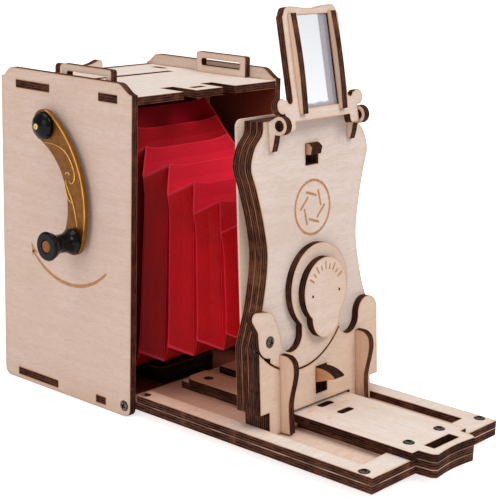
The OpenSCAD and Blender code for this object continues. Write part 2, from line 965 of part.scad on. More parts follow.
module standard_outline() {
  difference() {
    union() {
      polygon(concat(standard_side, flip(standard_side)));
      leg_outlines(leg_v + sheets * sin(lean));
      span(-leg_in - 1, leg_in + 1, apron_foot, foot_v + 1);
    }
    span(-catch_half, catch_half, -1, catch_slot_top);
    pair_span(bracket_x - ply - tab_gap, bracket_x + tab_gap, hinge_v - 3.2 - tab_gap, crown_v + 1);
    children();
  }
}

hook_v = 91.6;
hook_slot_h = 8.2;
hook_half = ply + 0.8;
light_window = 12;

module hook_cut() {
  span(-hook_half, hook_half, hook_v, hook_v + hook_slot_h);
}

catch_pivot = [ply / 2, 11.5];
catch_pin_r = 1;
catch_pin_l = 16;

module standard_front() {
  color(birch)
    on_standard()
      front_plate(0, ply)
        standard_outline() {
          hook_cut();
          translate([0, head_v])
            circle(pinhole_disc_r + bore_gap);
          translate([-lobe_x, lobe_v])
            circle(screw_r + bore_gap);
          span(-catch_pin_l / 2 - tab_gap, catch_pin_l / 2 + tab_gap,
            catch_pivot[1] - catch_pin_r - bore_gap, catch_pivot[1] + catch_pin_r + bore_gap);
        }
}

module window_cut() {
  span(-light_window, light_window, head_v - light_window, head_v + light_window);
}

module standard_middle() {
  color(birch)
    on_standard()
      front_plate(ply, ply)
        standard_outline() {
          hook_cut();
          window_cut();
        }
}

module standard_rear() {
  color(birch)
    on_standard()
      front_plate(2 * ply, ply)
        standard_outline()
          window_cut();
}

// Height up the standard where the optical axis meets its rear face
tip_v = (axis_z - base_z) / cos(lean) - sheets * tan(lean);

frame_inset = 3.8;
frame_half = foot_half - frame_inset;
frame_rise = 0.8;
frame_corner = 3;

module bellows_front_frame() {
  color(birch_warm)
    on_standard()
      front_plate(sheets, frame_t)
        difference() {
          union() {
            round_span(-frame_half, frame_half, foot_v + ply, crown_v + frame_rise, frame_corner);
            span(-frame_half, frame_half, foot_v + ply, foot_v + ply + 2 * frame_corner);
          }
          span(-bellows_tip_w - fold_d + frame_lap, bellows_tip_w + fold_d - frame_lap,
            tip_v - bellows_tip_h + frame_lap, tip_v + bellows_tip_h - frame_lap);
          span(-catch_half, catch_half, 0, catch_slot_top);
        }
}

// The apron and the shutter are cut from one outline along an arc
cut_at = [-12.3, 45.9];
cut_r = 29.3;
neck_half = 11.1;
notch_r = (lobe_x - lobe_r - neck_half) / 2;
notch_x = neck_half + notch_r;
notch_v = lobe_v - 0.3;

module front_outline() {
  difference() {
    span(-foot_half - 0.5, foot_half + 0.5, foot_v, lobe_v);
    pair_circle([notch_x, notch_v], notch_r);
    pair_span(notch_x - notch_r, notch_x + notch_r, notch_v, lobe_v + 1);
  }
  span(-neck_half, neck_half, lobe_v - 1, head_v - head_r + 5);
  translate([0, head_v])
    circle(head_r);
  pair_circle([lobe_x, lobe_v], lobe_r);
}

apron_hook_h = 2.2;

module apron() {
  color(birch)
    on_standard()
      front_plate(-ply, ply)
        difference() {
          union() {
            difference() {
              front_outline();
              translate(cut_at)
                circle(cut_r + shutter_gap);
              translate([-lobe_x, lobe_v])
                circle(lobe_r + shutter_gap);
            }
            leg_outlines(leg_v);
            span(-leg_in - 1, leg_in + 1, apron_foot, foot_v + 1);
            pair_span(rib_half + run_gap, leg_in + 1, leg_v, leg_v + apron_hook_h);
          }
          span(-catch_half, catch_half, 4, catch_slot_top);
        }
}

thumb = [-36.8, 40.2];
thumb_r = 2.2;
shutter_bulge = [-31, 36.5];

module shutter_plate() {
  color(birch)
    on_standard()
      front_plate(-ply, ply - 0.1)
        difference() {
          union() {
            intersection() {
              difference() {
                front_outline();
                span(-foot_half - 9, -lobe_x, 0, lobe_v + lobe_r);
              }
              translate(cut_at)
                circle(cut_r);
            }
            translate([-lobe_x, lobe_v])
              circle(lobe_r);
            link([-lobe_x, lobe_v], lobe_r, shutter_bulge, 5);
            link(shutter_bulge, 5, thumb, thumb_r);
          }
          translate([-lobe_x, lobe_v])
            circle(screw_r + bore_gap);
        }
}

grip_v = 44.5;
grip_lobe_v = 34.5;
dot_x = 7.9;

module shutter_grip() {
  color(birch)
    on_standard()
      front_plate(-2 * ply, ply)
        difference() {
          union() {
            translate([0, grip_v])
              circle(grip_r);
            translate([0, grip_lobe_v])
              circle(grip_lobe_r);
          }
          pair_circle([dot_x, grip_v - 1.2], 0.5);
        }
}

module shutter_screw() {
  color(black)
    on_standard()
      translate([-lobe_x, -ply - 0.1, lobe_v])
        rotate([90, 0, 0])
          dome_screw(2 * ply);
}

module pinhole_disc() {
  color(gold)
    on_standard()
      front_plate(ply - 0.5, 0.5)
        translate([0, head_v])
          difference() {
            circle(pinhole_disc_r);
            circle(pinhole_r);
          }
}

// Side view of a gusset: a full upper curve and a waist above the foot
module gusset(x) {
  on_standard()
    side_plate(x, ply)
      polygon(concat(
        [[-ply, leg_v], [-ply, gusset_v]],
        smooth([
          [-ply - 1.2, gusset_v],
          [-ply - gusset_reach * 0.62, gusset_v - 0.4],
          [-ply - gusset_reach * 0.93, gusset_v - 2.4],
          [-ply - gusset_reach, gusset_v - 5.6],
          [-ply - gusset_reach * 0.92, gusset_v - 9.4],
          [-ply - gusset_reach * 0.68, gusset_v - 15.6],
          [-ply - gusset_reach * 0.59, gusset_v - 20],
          [-ply - gusset_reach * 0.64, leg_v]
        ])
      ));
}

gusset_x = 21.3;

module gusset_left() {
  color(birch)
    gusset(-gusset_x - ply);
}

module gusset_right() {
  color(birch)
    gusset(gusset_x);
}

bracket_leg_t = 2.4;
bracket_leg_v = 99;

// Side view of a finder bracket: an eye, a leg on the face and a tail through the sheets
module finder_bracket(x) {
  on_standard()
    side_plate(x, ply)
      difference() {
        union() {
          link([-hinge_out, hinge_v], eye_r, [-0.6, hinge_v - 1], 2.2);
          polygon([
            [0, hinge_v],
            [-bracket_leg_t - 1, hinge_v - 2],
            [-bracket_leg_t, bracket_leg_v + 3],
            [-bracket_leg_t * 0.6, bracket_leg_v],
            [0, bracket_leg_v]
          ]);
          span(-1, sheets, hinge_v - 3.2, crown_v);
        }
        translate([-hinge_out, hinge_v])
          circle(eye_pin_r + bore_gap);
      }
}

module finder_bracket_left() {
  color(birch)
    finder_bracket(-bracket_x);
}

module finder_bracket_right() {
  color(birch)
    finder_bracket(bracket_x - ply);
}

// A double hook that shows in the upper slot of the standard
module fold_hook() {
  color(birch_warm)
    on_standard()
      side_plate(-ply, 2 * ply)
        polygon([
          [2 * ply, hook_v + 4],
          [2 * ply, hook_v + hook_slot_h],
          [0, hook_v + hook_slot_h],
          [-1.4, hook_v + hook_slot_h - 0.2],
          [-2.7, hook_v + hook_slot_h - 1.4],
          [-2, hook_v + 4]
        ]);
}

module catch_pin() {
  color(steel)
    on_standard()
      rod(-catch_pin_l / 2, catch_pin_l / 2, catch_pin_r, catch_pivot[0], catch_pivot[1]);
}

nose_reach = 8.8;

// Side view of the catch: a nose for the finger, and a tooth behind the pivot
module rail_catch() {
  tooth_v = sheets * tan(lean) + 0.25;
  color(birch_warm)
    on_standard()
      side_plate(-ply, 2 * ply)
        difference() {
          polygon(concat(
            [
              [sheets - 2.8, 8.6],
              [sheets - 2.4, tooth_v],
              [sheets, tooth_v],
              [sheets, 12.6],
              [catch_pivot[0], 14]
            ],
            smooth([
              [-ply, 14.3],
              [-ply - nose_reach * 0.35, 14.1],
              [-ply - nose_reach * 0.7, 13.3],
              [-ply - nose_reach + 0.2, 11.9]
            ], 4),
            [[-ply - nose_reach, 11.2], [-ply, 8.5]]
          ));
          translate(catch_pivot)
            circle(catch_pin_r + bore_gap);
        }
}

// The finder's own frame: v up from its hinge, y from its middle plane
module on_finder() {
  on_standard()
    translate([0, -hinge_out, hinge_v])
      rotate([lean - finder_lean, 0, 0])
        children();
}

finder_foot_in = finder_half - 0.1;
finder_sill = 0.6;
finder_foot_out = bracket_x - ply - run_gap;
finder_lobe_r = 2.8;
finder_lobe = [finder_half + 6, 6.7];
finder_top_bar = 2.7;
window_v0 = finder_sill + finder_bar_h;
window_v1 = finder_h - finder_top_bar;
finder_foot_v = -2.6;
foot_round = 1.4;
top_wave = 0.5;
// Width and height of the cut corners at the top
corner_w = 2.2;
corner_h = 2.8;
// Radius of the round notch between a lobe and the frame's side
side_notch_r = 1.5;
lobe_end = 135;

// Right half of the finder: a foot, a round lobe, a notch, a shoulder and the wavy top
function finder_side() =
  let (
    low = asin((finder_lobe[0] - finder_foot_out) / finder_lobe_r),
    saddle = finder_lobe[1] + finder_lobe_r * sin(lobe_end)
  )
  concat(
    [[finder_foot_in, finder_sill]],
    arc([finder_foot_in + foot_round, finder_foot_v + foot_round], foot_round, 180, 270, 4),
    arc([finder_foot_out - foot_round, finder_foot_v + foot_round], foot_round, 270, 360, 4),
    arc(finder_lobe, finder_lobe_r, -90 - low, lobe_end),
    arc([finder_half + side_notch_r, saddle], side_notch_r, 0, -180, 8),
    s_curve([finder_half, finder_h - corner_h], [finder_half - corner_w, finder_h], 6),
    [for (i = [8:-1:1]) let (t = i / 8)
      [(finder_half - corner_w - 0.6) * t, finder_h - top_wave * cos(200 * t)]]
  );

module finder_outline() {
  polygon(concat(finder_side(), [[0, finder_h - top_wave]], flip(finder_side())));
}

finder_y = finder_set - ply / 2;

module finder_frame() {
  color(birch)
    on_finder()
      front_plate(finder_y, ply)
        difference() {
          finder_outline();
          span(-window_half, window_half, window_v0, window_v1);
        }
}

rib_foot_lap = 2;
rib_head_lap = 0.7;

// Side view of a rib: a flat back on the frame and a bowed front
module finder_rib(x) {
  v0 = window_v0 - rib_foot_lap;
  v1 = window_v1 + rib_head_lap;
  on_finder()
    side_plate(x, ply)
      polygon(concat(
        [[finder_y, v0], [finder_y, v1]],
        [for (i = [12:-1:0]) let (t = i / 12)
          [finder_y - finder_rib_end - (finder_rib_t - finder_rib_end) * sin(180 * t), v0 + (v1 - v0) * t]]
      ));
}

module finder_rib_left() {
  color(birch)
    finder_rib(-window_half - ply);
}

module finder_rib_right() {
  color(birch)
    finder_rib(window_half);
}

pane_t = 1.5;
pane_gap = 0.02;

module finder_window() {
  color([0.80, 0.86, 0.92, 0.4])
    on_finder()
      front_plate(finder_set - pane_t / 2, pane_t)
        span(-window_half + pane_gap, window_half - pane_gap, window_v0 + pane_gap, window_v1 - pane_gap);
}

// The pins stop short of the outer faces of the brackets
pin_depth = 1.6;

module finder_pins() {
  color(birch_warm)
    on_finder()
      for (side = [-1, 1])
        rod(side > 0 ? finder_foot_out : pin_depth - bracket_x,
          side > 0 ? bracket_x - pin_depth : -finder_foot_out, eye_pin_r, 0, 0);
}

// The bellows is a row of rectangles, tall and wide in turn
tip_y = -standard_y + (sheets + frame_t) / cos(lean) + (axis_z - base_z) * tan(lean);
folds = folds_in + folds_out;
// Folds over which the bellows spreads inside the box
spread_folds = 4;
// Lean of the folds at the turn and near the standard, in degrees
turn_tilt = -3.1;
tip_tilt = 6.8;

// How far fold k is from the turn, towards the film chamber and towards the standard
function inward(k) = min(1, max(0, folds_in - k) / spread_folds);
function outward(k) = max(0, k - folds_in) / folds_out;
function mix3(k, rear, turn, tip) =
  turn + (rear - turn) * inward(k) + (tip - turn) * outward(k);
function fold_y(k) = k < folds_in
  ? chamber_y + (turn_y - chamber_y) * k / folds_in
  : turn_y + (tip_y - turn_y) * outward(k);
function fold_tilt(k) = k == folds ? lean
  : k < folds_in ? turn_tilt * k / folds_in
  : turn_tilt + (tip_tilt - turn_tilt) * outward(k);

// Corner j of fold k, drawn in by the given thickness
function ring_corner(k, j, inset) =
  let (
    deep = k % 2 == 0 ? fold_d : -fold_d,
    w = mix3(k, bellows_half_w, turn_half_w, bellows_tip_w) + deep - inset,
    h = mix3(k, bellows_half_h, turn_half_h, bellows_tip_h) - deep - inset,
    x = j == 0 || j == 3 ? -w : w,
    up = j < 2 ? -h : h,
    gap = k == 0 ? -bore_gap : k == folds ? bore_gap : 0
  )
  [x, fold_y(k) + gap + up * sin(fold_tilt(k)),
    axis_z + mix3(k, bellows_lift, 0, 0) + up * cos(fold_tilt(k))];

module bellows() {
  rings = folds + 1;
  points = concat(
    [for (k = [0:folds]) for (j = [0:3]) ring_corner(k, j, 0)],
    [for (k = [0:folds]) for (j = [0:3]) ring_corner(k, j, bellows_t)]
  );
  inner = 4 * rings;
  last = 4 * folds;
  walls = [for (k = [0:folds - 1]) for (j = [0:3])
    let (a = 4 * k + j, b = 4 * k + (j + 1) % 4)
    each [[a, b, b + 4], [a, b + 4, a + 4]]];
  linings = [for (f = walls) [f[0] + inner, f[2] + inner, f[1] + inner]];
  back = [for (j = [0:3]) let (b = (j + 1) % 4) each [[j, inner + b, b], [j, inner + j, inner + b]]];
  front = [for (j = [0:3]) let (a = last + j, b = last + (j + 1) % 4)
    each [[a, b, inner + b], [a, inner + b, inner + a]]];
  color(crimson)
    polyhedron(points, concat(walls, linings, back, front));
}

left_wall();
right_wall();
top_plate();
floor_plate();
strap_loop_left();
strap_loop_right();
bellows_rear_frame();
film_gate();
roller_bracket_left();
roller_bracket_right();
inner_rib();
inner_rail();
bed_hinge_screws();
door_hinge_ears();
door_hinge_rod();
bed_lower();
bed_upper();
bed_rail();
bed_screws();
back_door();
door_knuckles();
door_springs();
drive_roller();
crank_shaft();
crank_arm();
crank_cap();
crank_screw();
crank_pin();
crank_knob();
idle_roller();
idle_shaft();
standard_front();
standard_middle();
standard_rear();
bellows_front_frame();
apron();
gusset_left();
gusset_right();
finder_bracket_left();
finder_bracket_right();
fold_hook();
pinhole_disc();
shutter_screw();
catch_pin();
rail_catch();
shutter_plate();
shutter_grip();
finder_frame();
finder_rib_left();
finder_rib_right();
finder_window();
finder_pins();
bellows();
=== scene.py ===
import math

import bmesh
import bpy
from mathutils import Matrix, Vector


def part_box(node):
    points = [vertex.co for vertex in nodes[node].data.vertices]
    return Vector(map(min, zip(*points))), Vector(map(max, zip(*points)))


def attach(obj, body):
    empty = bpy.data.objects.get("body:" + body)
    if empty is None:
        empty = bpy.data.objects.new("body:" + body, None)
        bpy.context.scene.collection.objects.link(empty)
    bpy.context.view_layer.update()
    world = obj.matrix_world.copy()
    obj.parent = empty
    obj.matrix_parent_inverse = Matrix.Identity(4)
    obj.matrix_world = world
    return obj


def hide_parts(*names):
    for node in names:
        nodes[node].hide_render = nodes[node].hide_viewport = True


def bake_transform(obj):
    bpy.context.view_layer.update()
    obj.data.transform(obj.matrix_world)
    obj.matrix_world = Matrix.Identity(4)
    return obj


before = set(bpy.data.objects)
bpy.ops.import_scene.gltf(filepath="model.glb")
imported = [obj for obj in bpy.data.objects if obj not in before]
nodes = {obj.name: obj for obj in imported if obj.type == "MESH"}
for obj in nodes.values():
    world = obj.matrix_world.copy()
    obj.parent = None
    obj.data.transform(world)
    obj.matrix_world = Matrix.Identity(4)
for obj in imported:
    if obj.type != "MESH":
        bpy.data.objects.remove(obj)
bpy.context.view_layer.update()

MM = 0.001
scene = bpy.context.scene

# Ways along the axes
X, Y, Z = (1, 0, 0), (0, 1, 0), (0, 0, 1)
LEFT, DOWN = (-1, 0, 0), (0, 0, -1)


def low_corner(node):
    """Lowest corner of a solid's box, in millimetres."""
    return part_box(node)[0] / MM


def high_corner(node):
    """Highest corner of a solid's box, in millimetres."""
    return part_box(node)[1] / MM


# Sizes that the looks share with the solids, in millimetres and radians
SHEET, THIN_SHEET = 3.0, 1.0
LEAN = math.radians(3.9)
FINDER_LEAN = math.radians(12.1)
HINGE_OUT, HINGE_V = 5.2, 108.6

# The leaning front: a point at the foot of its face, the way back through its sheets, and the way up it
FACE = Vector((0, -58.6, 12.0))
BACK = Vector((0, math.cos(LEAN), -math.sin(LEAN)))
UP = Vector((0, math.sin(LEAN), math.cos(LEAN)))
HINGE = FACE - HINGE_OUT * BACK + HINGE_V * UP
FINDER_BACK = Vector((0, math.cos(FINDER_LEAN), -math.sin(FINDER_LEAN)))

# Places taken from the solids
WALL_X = low_corner("left_wall").x
BED_TOP = high_corner("bed_upper").z
RAIL_TOP = high_corner("bed_rail").z
CHAMBER_Y = low_corner("bellows_rear_frame").y
# The painted shade inside the box reaches this far above the underside of the top plate
SHADE_RISE = 1.0
SHADE_TOP = low_corner("top_plate").z + SHADE_RISE
RIM_H = 0.4
ARM_FACE = low_corner("crank_arm").x + RIM_H

# Middle of the crank arm's outer curve, as y and z, and the radius where its raised rim begins
ARM_MID, RIM_R = (66.37, 78.24), 44.4


def on_face(x, depth, v):
    """A point at height v on the leaning front, depth behind its face, in metres."""
    return (Vector((x, 0, 0)) + FACE + depth * BACK + v * UP) * MM


class Tree:
    """The node tree of a material or a world, with short calls for the nodes used here."""

    def __init__(self, owner):
        owner.use_nodes = True
        self.owner = owner
        self.nodes = owner.node_tree.nodes
        self.links = owner.node_tree.links

    def add(self, kind, **settings):
        n = self.nodes.new(kind)
        for key, value in settings.items():
            setattr(n, key, value)
        return n

    def put(self, socket, value):
        """Link a socket to an output, or give it a constant."""
        if isinstance(value, bpy.types.NodeSocket):
            self.links.new(value, socket)
        else:
            socket.default_value = value

    def math(self, kind, a, b=0.0):
        n = self.add("ShaderNodeMath", operation=kind)
        self.put(n.inputs[0], a)
        self.put(n.inputs[1], b)
        return n.outputs[0]

    def plus(self, a, b):
        return self.math("ADD", a, b)

    def minus(self, a, b):
        return self.math("SUBTRACT", a, b)

    def times(self, a, b):
        return self.math("MULTIPLY", a, b)

    def dot(self, a, b):
        n = self.add("ShaderNodeVectorMath", operation="DOT_PRODUCT")
        self.put(n.inputs[0], a)
        self.put(n.inputs[1], b)
        return n.outputs["Value"]

    def coords(self, what="Object"):
        return self.add("ShaderNodeTexCoord").outputs[what]

    def noise(self, vector, scale, detail=3.0, rough=0.55):
        n = self.add("ShaderNodeTexNoise")
        self.put(n.inputs["Vector"], vector)
        n.inputs["Scale"].default_value = scale
        n.inputs["Detail"].default_value = detail
        n.inputs["Roughness"].default_value = rough
        return n.outputs["Fac"]

    def ramp(self, fac, stops):
        n = self.add("ShaderNodeValToRGB")
        self.put(n.inputs[0], fac)
        elements = n.color_ramp.elements
        while len(elements) < len(stops):
            elements.new(0.5)
        for element, (position, colour) in zip(elements, stops):
            element.position = position
            element.color = (*colour, 1.0)
        return n.outputs[0]

    def mix(self, fac, a, b, kind="MIX"):
        n = self.add("ShaderNodeMix", data_type="RGBA", blend_type=kind)
        self.put(n.inputs[0], fac)
        for i, v in ((6, a), (7, b)):
            self.put(n.inputs[i], (*v, 1.0) if isinstance(v, tuple) else v)
        return n.outputs[2]

    def step(self, value, low, high, start=0.0, end=1.0):
        """A smooth change from start to end while value goes from low to high."""
        n = self.add("ShaderNodeMapRange", interpolation_type="SMOOTHSTEP")
        self.put(n.inputs[0], value)
        for i, v in enumerate((low, high, start, end), 1):
            n.inputs[i].default_value = v
        return n.outputs[0]

    def bump(self, height, strength, distance):
        n = self.add("ShaderNodeBump")
        n.inputs["Strength"].default_value = strength
        n.inputs["Distance"].default_value = distance
        self.put(n.inputs["Height"], height)
        return n.outputs[0]

    def cavity(self, distance, inside=True):
        """How open the surroundings are: inside looks into the piece, so that it finds edges."""
        n = self.add("ShaderNodeAmbientOcclusion", inside=inside, only_local=True, samples=8)
        n.inputs["Distance"].default_value = distance
        return n.outputs["AO"]

    def seen_by(self, *rays):
        """1 for the named kinds of ray and 0 for the others."""
        path = self.add("ShaderNodeLightPath")
        found = path.outputs[rays[0]]
        for ray in rays[1:]:
            found = self.math("MAXIMUM", found, path.outputs[ray])
        return found

    def set(self, **values):
        shader = self.nodes["Principled BSDF"]
        for key, v in values.items():
            self.put(shader.inputs[key.replace("_", " ")], v)
        return self.owner


def new_tree(name):
    return Tree(bpy.data.materials.new(name))


def paint(name, mat):
    """Give a material to a solid."""
    slots = nodes[name].material_slots
    for s in slots:
        s.link = "OBJECT"
        s.material = mat
    if not slots:
        nodes[name].data.materials.append(mat)


# Plywood: colours of the veneer, of the scorch beside a cut, of the painted shade inside the box and of a
# cut edge
BIRCH = (0.79, 0.665, 0.600)
BIRCH_DEEP = (0.665, 0.490, 0.380)
SCORCH = (0.480, 0.215, 0.090)
HAZE = (0.700, 0.450, 0.265)
INSIDE_SHADE = (0.185, 0.046, 0.025)
CHAR = (0.010, 0.003, 0.002)
CHAR_PALE = (0.160, 0.058, 0.037)
CHAR_WARM = (0.240, 0.094, 0.048)
SEAM = (0.340, 0.135, 0.055)
PALE_SEAM = (0.700, 0.440, 0.290)

# Reach of the haze and of the scorched line from a cut, and where the painted red bounce light from the
# bellows begins and is full
HAZE_L, SCORCH_L = 2.6, 0.8
BOUNCE_FROM, BOUNCE_FULL = -85, -8

# Where a glue line lies between two plies, as a share of the sheet, and half its width
GLUE_AT, GLUE_HALF = (0.34, 0.66), 0.08


class SheetTree(Tree):
    """The node tree of a sheet, with the places along its grain, across it and through the sheet."""

    def __init__(self, name, normal, low, grain):
        super().__init__(bpy.data.materials.new(name))
        through = Vector(normal).normalized()
        way = Vector(grain).normalized()
        self.place = self.coords("Object")
        self.turned = self.coords("Normal")
        self.facing = self.math("ABSOLUTE", self.dot(self.turned, tuple(through)))
        self.along = self.dot(self.place, tuple(way))
        self.across = self.dot(self.place, tuple(through.cross(way)))
        self.deep = self.minus(self.dot(self.place, tuple(through)), low)

    def drawn(self, along, across, deep, scale, detail, rough):
        """Noise that is drawn out along each way whose factor is below 1."""
        n = self.add("ShaderNodeCombineXYZ")
        ways = (self.along, self.across, self.deep)
        for socket, way, factor in zip(n.inputs, ways, (along, across, deep)):
            self.put(socket, self.times(way, factor))
        return self.noise(n.outputs[0], scale, detail, rough)


def veneer(t, pores, tint, glow):
    """Pale birch with short pores, soft figure, flecks and a few warm clouds."""
    pale = tuple(a * b for a, b in zip(BIRCH, tint))
    deep = tuple(a * b for a, b in zip(BIRCH_DEEP, tint))
    figure = t.drawn(0.10, 1, 1, 330, 4.0, 0.60)
    flecks = t.drawn(0.22, 1, 1, 780, 4.0, 0.72)
    clouds = t.noise(t.place, 24, 3.0, 0.55)
    colour = t.mix(t.step(pores, 0.42, 0.72), pale, deep)
    colour = t.mix(0.40, colour, t.mix(t.step(figure, 0.30, 0.75), pale, deep))
    colour = t.mix(t.step(flecks, 0.46, 0.70, end=0.42), colour, deep)
    colour = t.mix(t.step(clouds, 0.46, 0.72, end=0.45), colour, deep)
    # Painted red bounce light from the bellows, strongest near the box
    if glow:
        near_box = t.step(t.dot(t.place, Y), BOUNCE_FROM * MM, BOUNCE_FULL * MM)
        colour = t.mix(near_box, colour, glow, "MULTIPLY")
    return colour


def scorched(t, colour, line):
    """A soft warm haze beside every cut, and a narrow brown line of the given strength."""
    haze = t.step(t.cavity(HAZE_L * MM), 0.45, 1.0, 0.30, 0.0)
    colour = t.mix(haze, colour, HAZE)
    near_cut = t.step(t.cavity(SCORCH_L * MM), 0.35, 0.98, line, 0.0)
    return t.mix(near_cut, colour, SCORCH)


def shaded_inside(t, colour, way):
    """Painted shade, dark, on the faces that look along way, up to the top plate."""
    inner = t.step(t.dot(t.turned, way), 0.5, 0.8)
    below = t.math("LESS_THAN", t.dot(t.place, Z), SHADE_TOP * MM)
    return t.mix(t.times(inner, below), colour, INSIDE_SHADE)


def cut_edge(t, speck, sheet, burn, seam):
    """Charred plies with paler glue lines and specks, and an uneven seam at both faces of the sheet."""
    layer = t.math("FRACT", t.math("DIVIDE", t.deep, sheet * MM))
    wander = t.times(t.minus(t.noise(t.place, 300, 3.0, 0.6), 0.5), 0.16)
    stops = [(0.0, CHAR)]
    for glue in GLUE_AT:
        stops += [(glue - GLUE_HALF, CHAR), (glue, CHAR_PALE), (glue + GLUE_HALF, CHAR)]
    plies = t.ramp(t.plus(layer, wander), stops + [(1.0, CHAR)])
    streak = t.drawn(0.10, 0.10, 1, 1900, 3.0, 0.65)
    mottle = t.drawn(1, 1, 0.3, 130, 3.0, 0.6)
    plies = t.mix(t.step(streak, 0.47, 0.60, end=0.55), plies, CHAR_PALE)
    plies = t.mix(t.step(speck, 0.52, 0.70, end=0.35), plies, CHAR_PALE)
    plies = t.mix(t.step(mottle, 0.52, 0.76, end=0.45), plies, CHAR_WARM)
    plies = t.mix(t.step(mottle, 0.30, 0.50, 0.55, 0.0), plies, CHAR)
    outer = t.math("MINIMUM", layer, t.minus(1.0, layer))
    at_seam = t.step(outer, 0.02, 0.11, 1.0, 0.0)
    shown = t.step(t.noise(t.place, 42, 2.0), 0.38, 0.60, 0.25, 1.0)
    plies = t.mix(t.times(at_seam, shown), plies, seam)
    return t.mix(1.0, plies, (burn, burn, burn), "MULTIPLY")


def ply(name, normal, low, grain, sheet=SHEET, tint=(1, 1, 1), stain=None, burn=1.0, seam=SEAM, glow=None):
    """Birch plywood: pale veneer on the faces of a sheet, charred plies on its cut edges.
    normal is the sheet's normal, low the place of its first face along it, grain the way its veneer runs;
    tint scales the veneer's colour, and from sheet to sheet it carries painted light and shade as well as
    the wood's own tone; faces that look along the given shaded side are darkened by painted shade, as
    inside the box; burn scales the edges' colour, and 0 leaves them pale; seam is the colour between two
    sheets, and glow is painted red bounce light from the bellows, warming the veneer towards it."""
    t = SheetTree(name, normal, low, grain)
    pores = t.drawn(0.14, 1, 0.2, 2200, 4.0, 0.70)
    speck = t.noise(t.place, 1500, 3.0, 0.65)
    face = scorched(t, veneer(t, pores, tint, glow), 0.70 if burn else 0.10)
    # Painted shade, dark, on the faces that look into the box
    if stain:
        face = shaded_inside(t, face, stain)
    edge = t.step(t.facing, 0.45, 0.75, 1.0, 0.0) if burn else 0.0
    height = t.plus(t.times(pores, 0.5), t.times(speck, edge))
    return t.set(
        Base_Color=t.mix(edge, face, cut_edge(t, speck, sheet, burn, seam)),
        Roughness=t.plus(0.52, t.times(edge, 0.30)),
        Normal=t.bump(height, 0.22, 0.12 * MM),
        Specular_IOR_Level=0.08)


def sheets(names, normal, grain, **kw):
    """Give one plywood to the named nodes; the plies are counted from the lowest face of the first."""
    names = [names] if isinstance(names, str) else names
    n = Vector(normal)
    low = min(n.dot(v.co) for v in nodes[names[0]].data.vertices)
    mat = ply("ply_" + names[0], normal, low, grain, **kw)
    for name in names:
        paint(name, mat)


# Tints of the veneer: painted shade on hidden wood, near-black painted shade on wood in the shadow of the
# bellows, and painted cool light on wood that lies open to the light from above
DARKER = (0.90, 0.86, 0.84)
SHADE_TINT = (0.06, 0.035, 0.03)
SKY = (0.99, 1.05, 1.085)
SIDES = ("left", "right")


def box_sheets():
    """Walls, plates, film chamber and door of the box."""
    # The faces inside the box take painted shade
    sheets("left_wall", X, Y, tint=(1.0, 0.915, 0.880), stain=X)
    sheets("right_wall", X, Y, tint=DARKER, stain=LEFT)
    sheets("top_plate", Z, X, tint=SKY, stain=DOWN)
    sheets("floor_plate", Z, X, tint=DARKER, stain=Z)
    for side in SIDES:
        sheets("strap_loop_" + side, X, Y)
        sheets("roller_bracket_" + side, X, Y, tint=DARKER)
    for name in ("bellows_rear_frame", "film_gate"):
        sheets(name, Y, X, tint=DARKER)
    for name in ("door_hinge_ears", "door_knuckles"):
        sheets(name, X, Y, tint=DARKER)
    # The inner rib and rail are made near black: painted shade under the bellows
    sheets("inner_rib", Z, Y, sheet=4.0, tint=SHADE_TINT, burn=0.18)
    sheets("inner_rail", Z, Y, tint=SHADE_TINT, burn=0.18)
    sheets("back_door", Y, X)


def bed_sheets():
    """The three sheets of the bed, with painted red bounce light from the bellows towards the box."""
    sheets("bed_lower", Z, X, tint=(1.0, 0.93, 0.87), seam=PALE_SEAM, glow=(1.20, 0.86, 0.76))
    sheets("bed_upper", Z, X, tint=SKY, seam=PALE_SEAM, glow=(1.25, 0.92, 0.78))
    sheets("bed_rail", Z, Y, tint=SKY, burn=0.52, glow=(1.05, 0.62, 0.40))


def standard_sheets():
    """The front standard with its gussets and catches, and the shutter on it."""
    sheets(["standard_front", "standard_middle", "standard_rear"], BACK, X, tint=(1.02, 1.03, 1.06))
    sheets("apron", BACK, X, tint=(1.0, 0.935, 0.855), burn=0.66)
    sheets("shutter_grip", BACK, X, tint=(1.0, 0.975, 0.950), burn=0.58)
    sheets("shutter_plate", BACK, X, tint=(1.0, 0.955, 0.910), burn=0.70)
    sheets("bellows_front_frame", BACK, X, sheet=THIN_SHEET, burn=0.0)
    sheets("gusset_left", X, UP, tint=(0.94, 0.82, 0.74), burn=0.62)
    sheets("gusset_right", X, UP, tint=(0.95, 0.80, 0.66))
    sheets("fold_hook", X, Y, tint=(0.84, 0.62, 0.44), burn=0.45)
    sheets("rail_catch", X, Y, tint=(0.76, 0.46, 0.26), burn=0.45)


def finder_sheets():
    """The viewfinder and the brackets that hold it."""
    for side in SIDES:
        sheets("finder_bracket_" + side, X, UP)
        # The ribs' warmer tint is painted warm bounce light on their shaded faces
        sheets("finder_rib_" + side, X, UP, tint=(1.0, 0.94, 0.84))
    sheets("finder_frame", FINDER_BACK, X)
    sheets("finder_pins", Z, X, tint=(0.16, 0.09, 0.06), burn=0.5)


box_sheets()
bed_sheets()
standard_sheets()
finder_sheets()


# Where the bright top, the shade on the flanks and the shade of the rear begin and are full, in y
TOP_FROM, TOP_FULL = -36, -4
FLANK_FROM, FLANK_FULL = -14, 4
REAR_FROM, REAR_FULL = 20, 29


